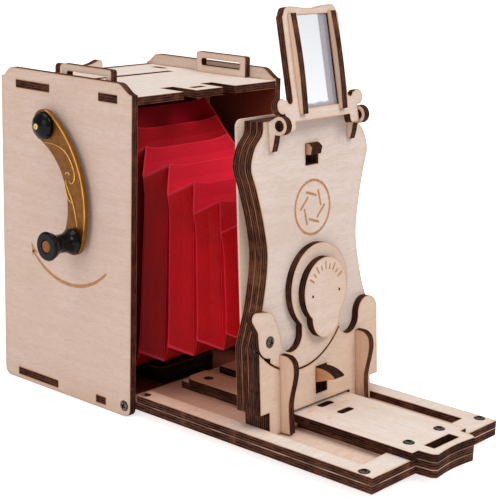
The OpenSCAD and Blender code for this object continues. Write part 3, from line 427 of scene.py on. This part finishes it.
def cloth():
    """Glossy red leather-cloth with a fine pressed grain and a painted highlight along its folds. Some
    light is painted in: a painted highlight on top, painted shade on the flanks towards the box and inside
    it."""
    deep, plain, worn = (0.370, 0.0012, 0.0035), (0.500, 0.0022, 0.0070), (0.50, 0.010, 0.016)
    lit, shaded, fold_highlight = (0.820, 0.014, 0.042), (0.160, 0.0006, 0.0015), (0.86, 0.065, 0.120)
    t = new_tree("bellows_red")
    p = t.coords("Object")
    turned = t.coords("Normal")
    back = t.dot(p, Y)
    fold = t.add("ShaderNodeAttribute", attribute_name="fold").outputs["Fac"]
    pebble = t.add("ShaderNodeTexVoronoi", feature="SMOOTH_F1")
    t.put(pebble.inputs["Vector"], p)
    pebble.inputs["Scale"].default_value = 2300
    cloud = t.noise(p, 60, 3.0, 0.6)
    red = t.mix(t.step(cloud, 0.3, 0.75), deep, plain)
    red = t.mix(t.step(t.noise(p, 1300, 3.0), 0.42, 0.72, end=0.45), red, worn)
    top = t.step(t.dot(turned, Z), 0.15, 0.60)
    red = t.mix(t.times(top, t.step(back, TOP_FROM * MM, TOP_FULL * MM, end=0.85)), red, lit)
    flank = t.math("ABSOLUTE", t.dot(turned, X))
    flank_shade = t.times(flank, t.step(back, FLANK_FROM * MM, FLANK_FULL * MM, end=0.45))
    rear_shade = t.step(back, REAR_FROM * MM, REAR_FULL * MM, end=0.92)
    red = t.mix(t.math("MAXIMUM", rear_shade, flank_shade), red, shaded)
    # Painted highlight along the folds and corners
    red = t.mix(t.step(fold, 0.3, 1.0, end=0.45), red, fold_highlight)
    return t.set(
        Base_Color=red,
        Roughness=t.plus(0.26, t.times(cloud, 0.20)),
        Normal=t.bump(pebble.outputs["Distance"], 0.45, 0.12 * MM),
        Specular_IOR_Level=0.09)


def metal(name, pale, deep, rough, scale, metallic=1.0):
    """Metal with slight cloudiness and fine wear."""
    t = new_tree(name)
    cloud = t.noise(t.coords("Object"), scale, 4.0, 0.6)
    return t.set(
        Base_Color=t.mix(t.step(cloud, 0.3, 0.75), pale, deep),
        Metallic=metallic,
        Normal=t.bump(cloud, 0.06, 0.05 * MM),
        Roughness=t.plus(rough, t.times(cloud, 0.14)))


def bronzed_arm():
    """Dark bronze with the rim along the outer curve rubbed to gold."""
    t = new_tree("bronze_arm")
    p = t.coords("Object")
    cloud = t.noise(p, 500, 4.0, 0.6)
    wear = t.step(cloud, 0.3, 0.75)
    bronze = t.mix(wear, (0.220, 0.078, 0.008), (0.135, 0.046, 0.005))
    gold = t.mix(wear, (0.74, 0.37, 0.060), (0.58, 0.27, 0.040))
    dy = t.minus(t.dot(p, Y), ARM_MID[0] * MM)
    dz = t.minus(t.dot(p, Z), ARM_MID[1] * MM)
    far = t.math("SQRT", t.plus(t.times(dy, dy), t.times(dz, dz)))
    looks_out = t.step(t.dot(t.coords("Normal"), LEFT), -0.2, 0.6)
    rim = t.times(t.math("GREATER_THAN", far, RIM_R * MM), looks_out)
    return t.set(
        Base_Color=t.mix(rim, bronze, gold),
        Metallic=0.75,
        Normal=t.bump(cloud, 0.06, 0.05 * MM),
        Roughness=t.plus(0.34, t.times(cloud, 0.14)))


def oxide():
    """Blackened steel, with painted shade, near black, in its cross recess and where its dome meets the
    shoulder.
    """
    t = new_tree("black_oxide")
    cloud = t.noise(t.coords("Object"), 1500, 4.0, 0.6)
    steel = t.mix(t.step(cloud, 0.3, 0.75), (0.130, 0.106, 0.084), (0.066, 0.054, 0.043))
    # Painted shade in the concave places: the cross recess and the foot of the dome
    is_open = t.step(t.cavity(0.9 * MM, inside=False), 0.68, 0.98)
    return t.set(
        Base_Color=t.mix(is_open, (0.004, 0.004, 0.004), steel),
        Metallic=0.6,
        Roughness=t.plus(0.28, t.times(cloud, 0.14)))


def gloss(name, colour, rough):
    """Dark lacquer or rubber with faint smears."""
    t = new_tree(name)
    smear = t.noise(t.coords("Object"), 260, 3.0, 0.6)
    return t.set(
        Base_Color=t.mix(t.step(smear, 0.4, 0.8), colour, tuple(c * 1.6 for c in colour)),
        Roughness=t.plus(rough, t.times(smear, 0.10)),
        Specular_IOR_Level=0.12)


def engraved(name, pale, deep):
    """Shallow laser engraving: toasted wood, uneven as the beam's passes leave it."""
    t = new_tree(name)
    toast = t.noise(t.coords("Object"), 900, 4.0, 0.65)
    return t.set(
        Base_Color=t.mix(t.step(toast, 0.35, 0.7), deep, pale),
        Roughness=0.75,
        Specular_IOR_Level=0.2)


# Where the painted reflection on the pane's border begins: from its middle to the right, and above the
# hinge
BORDER_X, BORDER_UP = 5.6, 6.4


def acrylic():
    """Clear pane with a painted reflection, a paler mauve grey, on its border to the right and below."""
    t = new_tree("acrylic")
    p = t.coords("Object")
    smear = t.noise(p, 120, 3.0)
    right = t.minus(t.dot(p, X), BORDER_X * MM)
    below = t.minus((HINGE.z + BORDER_UP) * MM, t.dot(p, Z))
    uneven = t.plus(below, t.times(smear, 2 * MM))
    # Painted reflection on the right and lower border, which also lets less light through
    reflected_band = t.math("MAXIMUM", t.step(right, 0.0, 0.5 * MM), t.step(uneven, 0.6 * MM, 1.6 * MM))
    return t.set(
        Base_Color=t.mix(reflected_band, (0.75, 0.76, 0.79), (0.50, 0.46, 0.51)),
        Transmission_Weight=t.minus(1.0, t.times(reflected_band, 0.55)),
        IOR=1.49,
        Roughness=t.step(smear, 0.45, 0.9, end=0.05))


RED = cloth()
ENGRAVED = engraved("engraved", (0.59, 0.315, 0.155), (0.46, 0.205, 0.085))
FAINT = engraved("engraved_faint", (0.74, 0.56, 0.42), (0.68, 0.44, 0.29))
ARM = bronzed_arm()
BRONZE = metal("bronze", (0.260, 0.085, 0.016), (0.165, 0.052, 0.010), 0.36, 500, 0.75)
GOLD = metal("gold_line", (0.74, 0.42, 0.10), (0.57, 0.30, 0.06), 0.26, 900)
BRASS = metal("brass", (0.80, 0.58, 0.24), (0.66, 0.44, 0.15), 0.25, 1200)
STEEL = metal("steel", (0.56, 0.57, 0.59), (0.47, 0.48, 0.50), 0.30, 1500)
OXIDE = oxide()
PITCH = gloss("black_gloss", (0.004, 0.004, 0.004), 0.06)
RUBBER = gloss("roller_rubber", (0.020, 0.020, 0.020), 0.55)
ACRYLIC = acrylic()

for mat, names in (
        (ARM, ["crank_arm"]),
        (BRONZE, ["crank_pin"]),
        (BRASS, ["crank_screw", "pinhole_disc"]),
        (PITCH, ["crank_cap", "crank_knob"]),
        (RUBBER, ["drive_roller", "idle_roller"]),
        (STEEL, ["crank_shaft", "idle_shaft", "door_hinge_rod", "door_springs", "catch_pin"]),
        (ACRYLIC, ["finder_window"]),
        (OXIDE, ["bed_screws", "bed_hinge_screws", "shutter_screw"]),
        (RED, ["bellows"])):
    for name in names:
        paint(name, mat)


def add_object(name, me):
    ob = bpy.data.objects.new(name, me)
    scene.collection.objects.link(ob)
    return ob


def piece(name, verts, faces, mat, body, smooth=False):
    """A visible piece that rides on a body; with no body, it is left unattached."""
    me = bpy.data.meshes.new(name)
    me.from_pydata([tuple(v) for v in verts], [], faces)
    me.update()
    ob = add_object(name, me)
    me.materials.append(mat)
    if smooth:
        for f in me.polygons:
            f.use_smooth = True
    if body:
        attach(ob, body)
    return ob


# Bellows: the solid's own rings, with the sheet between two folds drawn in a little and the folds rounded
FOLDS_IN, FOLDS_OUT, FOLD_D = 7, 9, 3.1
FOLDS = FOLDS_IN + FOLDS_OUT
EASE_FOLDS = 4

# Half width, half height and rise of the middle: at the chamber, at the turn of the taper and at the tip
HALF_W = (27.7, 26.5, 20.0)
HALF_H = (49.0, 41.8, 17.2)
RISE = (6.5, 0.0, 0.0)

# Place of the turn and of the tip, behind the standard's sheets and the thin frame, and the folds' tilts
TURN_Y, AXIS_Z = 14.5, 58.0
STANDARD_D = 3 * SHEET + THIN_SHEET
TIP_Y = FACE.y + STANDARD_D / math.cos(LEAN) + (AXIS_Z - FACE.z) * math.tan(LEAN)
TURN_TILT, TILT_GAIN = -3.1, 9.9

# The cloth: its thickness, how far it hollows, how far and how long its corners are drawn out
CLOTH_T, SLACK = 0.7, 0.55
FLARE, FLARE_LOW, FLARE_L = 1.5, 0.5, 10.0

# A fold's round turn: its share of the sheet between two folds, and how far it is drawn in
TURN_SHARE, TURN_IN = 0.05, 0.12

# Where a side of the cloth nears its corner and where the corner begins, and how strongly corners take the
# painted highlight
NEAR_CORNER, CORNER = 0.94, 0.985
CORNER_HIGHLIGHT = 0.9


def inward(k):
    """How far fold k is on the way from the turn to the chamber's width, from 0 to 1."""
    return min(1.0, max(0.0, FOLDS_IN - k) / EASE_FOLDS)


def outward(k):
    """How far fold k is on the way from the turn to the tip, from 0 to 1."""
    return max(0.0, k - FOLDS_IN) / FOLDS_OUT


def between(k, sizes):
    """The size at fold k, from the sizes at the chamber, the turn and the tip."""
    rear, turn, tip = sizes
    return turn + (rear - turn) * inward(k) + (tip - turn) * outward(k)


def ring(k):
    """Half width, half height, place, middle and tilt of fold k."""
    deep = FOLD_D if k % 2 == 0 else -FOLD_D
    if k < FOLDS_IN:
        y = CHAMBER_Y + (TURN_Y - CHAMBER_Y) * k / FOLDS_IN
        tilt = TURN_TILT * k / FOLDS_IN
    else:
        y = TURN_Y + (TIP_Y - TURN_Y) * outward(k)
        tilt = TURN_TILT + TILT_GAIN * outward(k)
    if k == FOLDS:
        tilt = math.degrees(LEAN)
    w = between(k, HALF_W) + deep
    h = between(k, HALF_H) - deep
    return w, h, y, AXIS_Z + between(k, RISE), math.radians(tilt)


def bellows_point(k, t, side, u, inset):
    """A point on the cloth between folds k and k + 1, t of the way, on one of its four sides; u goes
    from -1 to 1 along that side, and inset moves the point inwards."""
    a, b = ring(k), ring(min(k + 1, FOLDS))
    w, h, y, z, tilt = (p + (q - p) * t for p, q in zip(a, b))
    # slack: the sheet hollows slightly between its folds, most in the middle of a side
    slack = SLACK * math.sin(math.pi * t) ** 2 * (1 - u ** 4)
    w -= inset
    h -= inset
    x, up = (
        (u * w, -h + slack),
        (w - slack, u * h),
        (-u * w, h - slack),
        (-w + slack, -u * h))[side]
    # a ridge is drawn out to a point where it meets the corner
    ridge = 1 - t if k % 2 == 0 else t
    to_end = max(0.0, 1 - (h - abs(up)) / FLARE_L) ** 2
    to_side = max(0.0, 1 - (w - abs(x)) / FLARE_L) ** 2
    flare = FLARE if up > 0 else FLARE_LOW
    x *= 1 + flare * ridge * to_end / w
    up *= 1 + flare * (1 - ridge) * to_side / h
    return Vector((x, y + up * math.sin(tilt), z + up * math.cos(tilt))) * MM


def bellows_faces(n, m):
    """Faces of two skins, one inside the other, of m rows of n points, closed at both ends."""
    inner = n * m
    faces = []
    for r in range(m - 1):
        for c in range(n):
            a, b = r * n + c, r * n + (c + 1) % n
            faces.append((a, b, b + n, a + n))
            a, b = a + inner, b + inner
            faces.append((a, a + n, b + n, b))
    for c in range(n):
        a, b = c, (c + 1) % n
        faces.append((a, a + inner, b + inner, b))
        a, b = a + inner - n, b + inner - n
        faces.append((a, b, b + inner, a + inner))
    return faces


def make_bellows():
    """Outer and inner skin of the bellows; the attribute named fold marks its folds and corners for the
    painted highlight.
    """
    across = [-1, -CORNER, -NEAR_CORNER] + [i / 5 for i in range(-4, 5)] + [NEAR_CORNER, CORNER]
    steps = [0.0, TURN_SHARE, 0.2, 0.5, 0.8, 1 - TURN_SHARE]
    rows = [(k, t) for k in range(FOLDS) for t in steps] + [(FOLDS - 1, 1.0)]
    loop = [(s, u) for s in range(4) for u in across]
    verts, fold = [], []
    for inset in (0.0, CLOTH_T):
        for k, t in rows:
            # a fold is a small round turn, not a knife edge
            ease = max(0.0, 1 - min(t, 1 - t) / TURN_SHARE)
            for s, u in loop:
                verts.append(bellows_point(k, t, s, u, inset + TURN_IN * ease))
                corner = CORNER_HIGHLIGHT if abs(u) >= CORNER else 0.0
                fold.append(max(ease, corner) if inset == 0.0 else 0.0)
    ob = piece("bellows_skin", verts, bellows_faces(len(loop), len(rows)), RED, None)
    attr = ob.data.attributes.new("fold", "FLOAT", "POINT")
    attr.data.foreach_set("value", fold)
    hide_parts("bellows")
    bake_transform(ob)


make_bellows()

# Engraved marks are thin closed inlays, let into the veneer and proud of it by a hair
SKIN, INLAY = 0.03, 0.15


def inlay(name, flat, faces, place, body, mat):
    """A thin closed piece; flat holds its outline points, faces the polygons over them, and
    place(a, b, sink) puts a point on the surface, sunk by that much."""
    n = len(flat)
    verts = [place(a, b, 0.0) for a, b in flat] + [place(a, b, INLAY) for a, b in flat]
    rim = []
    for f in faces:
        for edge in zip(f, f[1:] + f[:1]):
            if edge[::-1] in rim:
                rim.remove(edge[::-1])
            else:
                rim.append(edge)
    walls = [(b, a, a + n, b + n) for a, b in rim]
    under = [tuple(v + n for v in reversed(f)) for f in faces]
    ob = piece(name, verts, faces + under + walls, mat, body)
    bm = bmesh.new()
    bm.from_mesh(ob.data)
    bmesh.ops.recalc_face_normals(bm, faces=bm.faces)
    bm.to_mesh(ob.data)
    bm.free()


def even(t):
    """No taper: the same size all along."""
    return 1


def heading(points, i):
    """The way that a line through points takes at its point i."""
    return (points[min(i + 1, len(points) - 1)] - points[max(i - 1, 0)]).normalized()


def ribbon(name, path, width, place, body, taper=even, mat=ENGRAVED):
    """A line of the given width along path, on the surface that place gives."""
    pts = [Vector(p) for p in path]
    last = len(pts) - 1
    flat = []
    for i, p in enumerate(pts):
        d = heading(pts, i)
        side = Vector((-d.y, d.x)) * width / 2 * taper(i / last)
        flat += [tuple(p + side), tuple(p - side)]
    faces = [(2 * i, 2 * i + 1, 2 * i + 3, 2 * i + 2) for i in range(last)]
    inlay(name, flat, faces, place, body, mat)


def polar(c, r, degrees):
    """The point at r from c, in the given direction."""
    a = math.radians(degrees)
    return c[0] + r * math.cos(a), c[1] + r * math.sin(a)


def arc(c, r, a0, a1, n):
    return [polar(c, r, a0 + (a1 - a0) * i / n) for i in range(n + 1)]


def disc(name, c, r, place, body, mat, n=24):
    inlay(name, arc(c, r, 0, 360, n)[:n], [tuple(range(n))], place, body, mat)


def closed_ring(name, c, r, width, place, body, n=72):
    flat = []
    for i in range(n):
        for k in (r + width / 2, r - width / 2):
            flat.append(polar(c, k, 360 * i / n))
    m = 2 * n
    faces = [(2 * i, 2 * i + 1, (2 * i + 3) % m, (2 * i + 2) % m) for i in range(n)]
    inlay(name, flat, faces, place, body, ENGRAVED)


def on_wall(y, z, sink):
    return Vector((WALL_X - SKIN + sink, y, z)) * MM


def on_front(x, v, sink):
    return on_face(x, sink - SKIN, v)


def on_grip(x, v, sink):
    return on_face(x, sink - 2 * SHEET - SKIN, v)


def on_rail(x, y, sink):
    return Vector((x, y, RAIL_TOP + SKIN - sink)) * MM


# Film arrow under the crank: middle, radius, ends and width of its arc, and the four points of its head
ARROW_MID, ARROW_R, ARROW_W = (34.9, 77.6), 30.4, 1.15
ARROW_FROM, ARROW_TO = 318, 226
ARROW_HEAD = [(58.6, 60.6), (54.4, 56.4), (56.6, 56.9), (57.7, 54.6)]


def arrow_taper(t):
    return 0.75 + 0.5 * math.sin(math.pi * t) ** 0.5


def film_arrow():
    """An arc with its head at the rear."""
    path = arc(ARROW_MID, ARROW_R, ARROW_FROM, ARROW_TO, 60)
    ribbon("film_arrow_arc", path, ARROW_W, on_wall, "box", arrow_taper)
    inlay("film_arrow_head", ARROW_HEAD, [(0, 1, 2), (0, 2, 3)], on_wall, "box", ENGRAVED)


# Round mark on the front: its middle, its ring, and the blades from an inner to an outer radius
MARK = (0, 75.5)
RING_R, RING_W = 10.2, 1.0
BLADES, BLADE_W = 6, 0.95
BLADE_IN, BLADE_OUT, BLADE_TWIST = 4.9, 7.2, 62


def front_mark():
    """A ring with a plain aperture figure."""
    closed_ring("front_ring", MARK, RING_R, RING_W, on_front, "standard")
    for i in range(BLADES):
        a = 360 / BLADES * i
        p = Vector(polar(MARK, BLADE_IN, a))
        q = Vector(polar(MARK, BLADE_OUT, a + BLADE_TWIST))
        ribbon(f"front_blade_{i}", [p, (p + q) / 2, q], BLADE_W, on_front, "standard")


# Ticks on the grip: middle and inner radius of their row, first angle, step, width and two lengths
GRIP_MID, TICK_R = (0, 44.5), 8.0
TICKS, TICK_FROM, TICK_STEP = 9, 150, 15
TICK_W, LONG_TICK, SHORT_TICK = 0.75, 3.2, 2.0


def grip_ticks():
    """A row of ticks along the upper edge of the shutter's grip."""
    for i in range(TICKS):
        a = TICK_FROM - TICK_STEP * i
        end = TICK_R + (LONG_TICK if i % 2 == 0 else SHORT_TICK)
        path = [polar(GRIP_MID, TICK_R, a), polar(GRIP_MID, end, a)]
        ribbon(f"grip_tick_{i}", path, TICK_W, on_grip, "shutter")


# Faint marks beside the stop slots of the rail: both ends in x and the place in y of each, and a dot
RAIL_TICKS = ((-12.4, -9.0, -64.4), (-12.0, -9.4, -73.9), (5.6, 9.6, -67.0))
RAIL_TICK_W = 1.3
RAIL_DOT, RAIL_DOT_R = (10.0, -79.0), 0.8


def rail_marks():
    for i, (x0, x1, y) in enumerate(RAIL_TICKS):
        path = [(x0, y), ((x0 + x1) / 2, y), (x1, y)]
        ribbon(f"rail_tick_{i}", path, RAIL_TICK_W, on_rail, "box", mat=FAINT)
    disc("rail_dot", RAIL_DOT, RAIL_DOT_R, on_rail, "box", FAINT)


film_arrow()
front_mark()
grip_ticks()
rail_marks()


def tube(name, path, r, mat, body, taper, sides=8):
    """A round line along path, with closed ends."""
    pts = [Vector(p) for p in path]
    last = len(pts) - 1
    verts, faces = [], []
    a = Vector(X)
    for i, p in enumerate(pts):
        b = heading(pts, i).cross(a).normalized()
        k = r * taper(i / last)
        for j in range(sides):
            turn = 2 * math.pi * j / sides
            verts.append((p + (a * math.cos(turn) + b * math.sin(turn)) * k) * MM)
    for i in range(last):
        for j in range(sides):
            p, q = i * sides + j, i * sides + (j + 1) % sides
            faces.append((p, q, q + sides, p + sides))
    faces.append(tuple(range(sides))[::-1])
    faces.append(tuple(range(last * sides, len(pts) * sides)))
    piece(name, verts, faces, mat, body, smooth=True)


def spline(points, n=10):
    """A smooth curve through points, with n steps from each to the next."""
    p = [Vector(q) for q in points]
    out = []
    for i in range(len(p) - 1):
        a, b, c, d = p[max(i - 1, 0)], p[i], p[i + 1], p[min(i + 2, len(p) - 1)]
        for j in range(n):
            t = j / n
            bend = 2 * a - 5 * b + 4 * c - d
            twist = 3 * b - a - 3 * c + d
            out.append(0.5 * (2 * b + (c - a) * t + bend * t * t + twist * t ** 3))
    out.append(p[-1])
    return out


def swell(t):
    """A line that is thin at both ends and full in the middle."""
    return 0.35 + 0.65 * math.sin(math.pi * min(1, t * 1.05)) ** 0.7


# Scroll on the crank arm: half the thickness of each line, and its points as y and z
SCROLL = {
    "scroll_stem": (0.34, [
        (45.3, 103.9), (42.0, 104.0), (38.7, 103.8), (35.3, 102.9), (32.7, 101.5), (30.3, 99.3),
        (28.7, 96.8), (27.6, 94.2), (27.6, 91.7), (28.8, 89.9), (30.3, 89.9), (30.8, 90.6)]),
    "scroll_curl": (0.26, [
        (32.8, 92.7), (32.3, 93.6), (31.1, 93.8), (30.5, 93.3), (31.1, 92.7)]),
    "scroll_leaf": (0.36, [
        (32.8, 90.8), (32.1, 88.6), (30.9, 86.5), (29.4, 84.1), (28.0, 81.1), (27.1, 78.0),
        (26.4, 74.8), (26.1, 72.8)]),
    "scroll_twig": (0.24, [
        (33.3, 89.7), (32.8, 87.3), (31.8, 84.6), (31.1, 83.2), (29.9, 82.4), (28.7, 81.8)])}


def scroll():
    """Raised gold lines on the flat of the crank arm."""
    for name, (r, points) in SCROLL.items():
        path = spline([(ARM_FACE, y, z) for y, z in points])
        tube(name, path, r, GOLD, "crank", swell)


scroll()

# Screws: radii of head and shank, height of the shoulder, and the dome's share of the head, foot and height
HEAD_R, SHANK_R = 2.2, 1.0
SHOULDER_H = 0.1
DOME_SHARE, DOME_FOOT, DOME_H = 0.84, 0.25, 0.45

# Sides of a screw's circle, and the angle from which an edge of it shows as sharp
ROUND_SIDES, SHARP = 32, math.radians(35)

# Cross recess: half length and half width of a bar, its taper downwards, its floor, its top and its turn
CROSS_L, CROSS_W, CROSS_TAPER = 1.5, 0.46, 0.75
CROSS_FLOOR, CROSS_TOP = 0.08, 1.6
CROSS_TURN = math.radians(20)


def loose(name, bm):
    """An object with the mesh that bm holds."""
    me = bpy.data.meshes.new(name)
    bm.to_mesh(me)
    bm.free()
    return add_object(name, me)


def revolved(bm, profile):
    """Faces round the z axis, through a profile of radii and heights."""
    n = ROUND_SIDES
    rings = []
    for r, z in profile:
        on_axis = r < 1e-6
        points = [polar((0, 0), r, 360 * i / n) for i in range(1 if on_axis else n)]
        rings.append([bm.verts.new((x, y, z)) for x, y in points])
    for a, b in zip(rings, rings[1:]):
        for i in range(n):
            j = (i + 1) % n
            quad = [a[i % len(a)], a[j % len(a)], b[j % len(b)], b[i % len(b)]]
            quad = [v for k, v in enumerate(quad) if v not in quad[:k]]
            if len(quad) > 2:
                bm.faces.new(quad)
    bmesh.ops.recalc_face_normals(bm, faces=bm.faces)


def screw_blank(length):
    """Shank and head without a recess; the seat of the head is at height 0."""
    dome_r = DOME_SHARE * HEAD_R
    profile = [(0, -length), (SHANK_R, -length), (SHANK_R, 0)]
    profile += [(HEAD_R, 0), (HEAD_R, SHOULDER_H), (dome_r, SHOULDER_H)]
    for degrees in range(0, 91, 9):
        a = math.radians(degrees)
        profile.append((dome_r * math.cos(a), DOME_FOOT + DOME_H * math.sin(a)))
    bm = bmesh.new()
    revolved(bm, profile)
    return loose("screw", bm)


def cross_cutter():
    """Two tapered bars that cut the recess."""
    bm = bmesh.new()
    for half_x, half_y in ((CROSS_L, CROSS_W), (CROSS_W, CROSS_L)):
        for v in bmesh.ops.create_cube(bm, size=2.0)["verts"]:
            is_low = v.co.z < 0
            taper = CROSS_TAPER if is_low else 1
            z = CROSS_FLOOR if is_low else CROSS_TOP
            v.co = Vector((v.co.x * half_x * taper, v.co.y * half_y * taper, z))
    return loose("cut", bm)


def screw(at, axis, length):
    """The mesh of one screw; at is the seat of its head, and axis the way its head looks."""
    blank = screw_blank(length)
    cutter = cross_cutter()
    cut = blank.modifiers.new("cross", "BOOLEAN")
    cut.operation = "DIFFERENCE"
    cut.object = cutter
    cut.use_self = True
    cut.solver = "EXACT"
    done = blank.evaluated_get(bpy.context.evaluated_depsgraph_get())
    me = bpy.data.meshes.new_from_object(done)
    for ob in (blank, cutter):
        bpy.data.objects.remove(ob)
    z = Vector(axis).normalized()
    x = z.orthogonal().normalized()
    turn = Matrix((x, z.cross(x), z)).transposed() @ Matrix.Rotation(CROSS_TURN, 3, "Z")
    me.transform(turn.to_4x4())
    me.transform(Matrix.Translation(Vector(at)))
    me.transform(Matrix.Scale(MM, 4))
    return me


def screws(name, places, body, node):
    """One piece with a screw at each place, given as seat, axis and length; it stands for a solid."""
    bm = bmesh.new()
    for at, axis, length in places:
        me = screw(at, axis, length)
        bm.from_mesh(me)
        bpy.data.meshes.remove(me)
    ob = loose(name, bm)
    for f in ob.data.polygons:
        f.use_smooth = True
    ob.data.set_sharp_from_angle(angle=SHARP)
    ob.data.materials.append(OXIDE)
    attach(ob, body)
    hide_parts(node)


# Places of the screws: on the bed and on the rail as x and y, and on the front as x, depth and height
BED_SCREW, RAIL_SCREW = (36.4, -109.7), (9.6, -109.2)
SHUTTER_SCREW = (-29.5, -3.1, 30.1)

# Length of the hinge's screws under the head
HINGE_SCREW_L = 7.0


def all_screws():
    """Screws of the bed, of its hinge and of the shutter; each length reaches through what it holds."""
    pair = (-1, 1)
    on_bed = [((s * BED_SCREW[0], BED_SCREW[1], BED_TOP), Z, 2 * SHEET) for s in pair]
    on_top = [((s * RAIL_SCREW[0], RAIL_SCREW[1], RAIL_TOP), Z, 3 * SHEET) for s in pair]
    screws("bed_screw_set", on_bed + on_top, "box", "bed_screws")
    middle = (low_corner("bed_hinge_screws") + high_corner("bed_hinge_screws")) / 2
    hinge = [((-s * WALL_X, middle.y, middle.z), (s, 0, 0), HINGE_SCREW_L) for s in pair]
    screws("hinge_screw_set", hinge, "box", "bed_hinge_screws")
    shutter = [(on_face(*SHUTTER_SCREW) / MM, -BACK, 2 * SHEET)]
    screws("shutter_screw_head", shutter, "standard", "shutter_screw")


all_screws()

# Studio: half the floor's width and its drop below the feet, in metres, its glow and the world's white
FLOOR_HALF, FLOOR_DROP = 9, 0.0002
FLOOR_GLOW = 0.70
WORLD_DIM, WORLD_FULL = 0.38, 1.0


def floor():
    """White paper, with a glow that only what looks at it sees."""
    h = FLOOR_HALF
    me = bpy.data.meshes.new("floor")
    me.from_pydata([(-h, -h, 0), (h, -h, 0), (h, h, 0), (-h, h, 0)], [], [(0, 1, 2, 3)])
    ob = add_object("floor", me)
    ob.location.z = -FLOOR_DROP
    t = new_tree("floor_white")
    t.nodes.remove(t.nodes["Principled BSDF"])
    paper = t.add("ShaderNodeBsdfDiffuse")
    paper.inputs["Color"].default_value = (0.80, 0.80, 0.80, 1)
    glow = t.add("ShaderNodeEmission")
    seen = t.seen_by("Is Camera Ray", "Is Glossy Ray", "Is Transmission Ray")
    t.put(glow.inputs["Strength"], t.times(seen, FLOOR_GLOW))
    both = t.add("ShaderNodeAddShader")
    t.put(both.inputs[0], paper.outputs[0])
    t.put(both.inputs[1], glow.outputs[0])
    t.put(t.nodes["Material Output"].inputs["Surface"], both.outputs[0])
    me.materials.append(t.owner)


def area(name, at, look, size, watts):
    """A round soft lamp."""
    lamp = bpy.data.lights.new(name, "AREA")
    lamp.shape = "DISK"
    lamp.size = size
    lamp.energy = watts
    ob = add_object(name, lamp)
    ob.location = at
    ob.rotation_euler = (Vector(look) - Vector(at)).to_track_quat("-Z", "Y").to_euler()


def lamps():
    area("key", at=(0.35, -1.3, 1.5), look=(0, 0, 0.06), size=1.1, watts=18)
    area("top", at=(-0.2, 0.1, 1.7), look=(0, 0, 0.05), size=1.2, watts=10.5)
    area("left", at=(-1.6, -0.2, 0.7), look=(0, 0, 0.06), size=1.2, watts=8)


def backdrop():
    """White all round: full as it is looked at, dimmer as light and in reflections."""
    world = bpy.data.worlds.new("studio")
    scene.world = world
    t = Tree(world)
    white = t.nodes["Background"]
    white.inputs["Color"].default_value = (1, 1, 1, 1)
    looked_at = t.seen_by("Is Camera Ray", "Is Transmission Ray")
    t.put(white.inputs["Strength"], t.step(looked_at, 0, 1, WORLD_DIM, WORLD_FULL))


# The photograph's camera: place in millimetres, turns in degrees, focal length and frame in pixels
EYE = Vector((-404.68, -377.10, 199.88))
HEADING, PITCH, ROLL = -48.805, -14.076, 1.569
FOCAL_PX, FRAME_PX = 1413.2, 500
SENSOR = 36


def camera():
    lens = bpy.data.cameras.new("camera")
    lens.sensor_width = SENSOR
    lens.lens = FOCAL_PX / FRAME_PX * SENSOR
    lens.clip_start = 0.01
    lens.clip_end = 60
    ob = add_object("camera", lens)
    turn = Matrix.Rotation(math.radians(HEADING), 4, "Z")
    turn @= Matrix.Rotation(math.radians(90 + PITCH), 4, "X")
    turn @= Matrix.Rotation(math.radians(ROLL), 4, "Z")
    ob.matrix_world = Matrix.Translation(EYE * MM) @ turn
    scene.camera = ob
    scene.view_settings.view_transform = "Standard"


floor()
lamps()
backdrop()
camera()
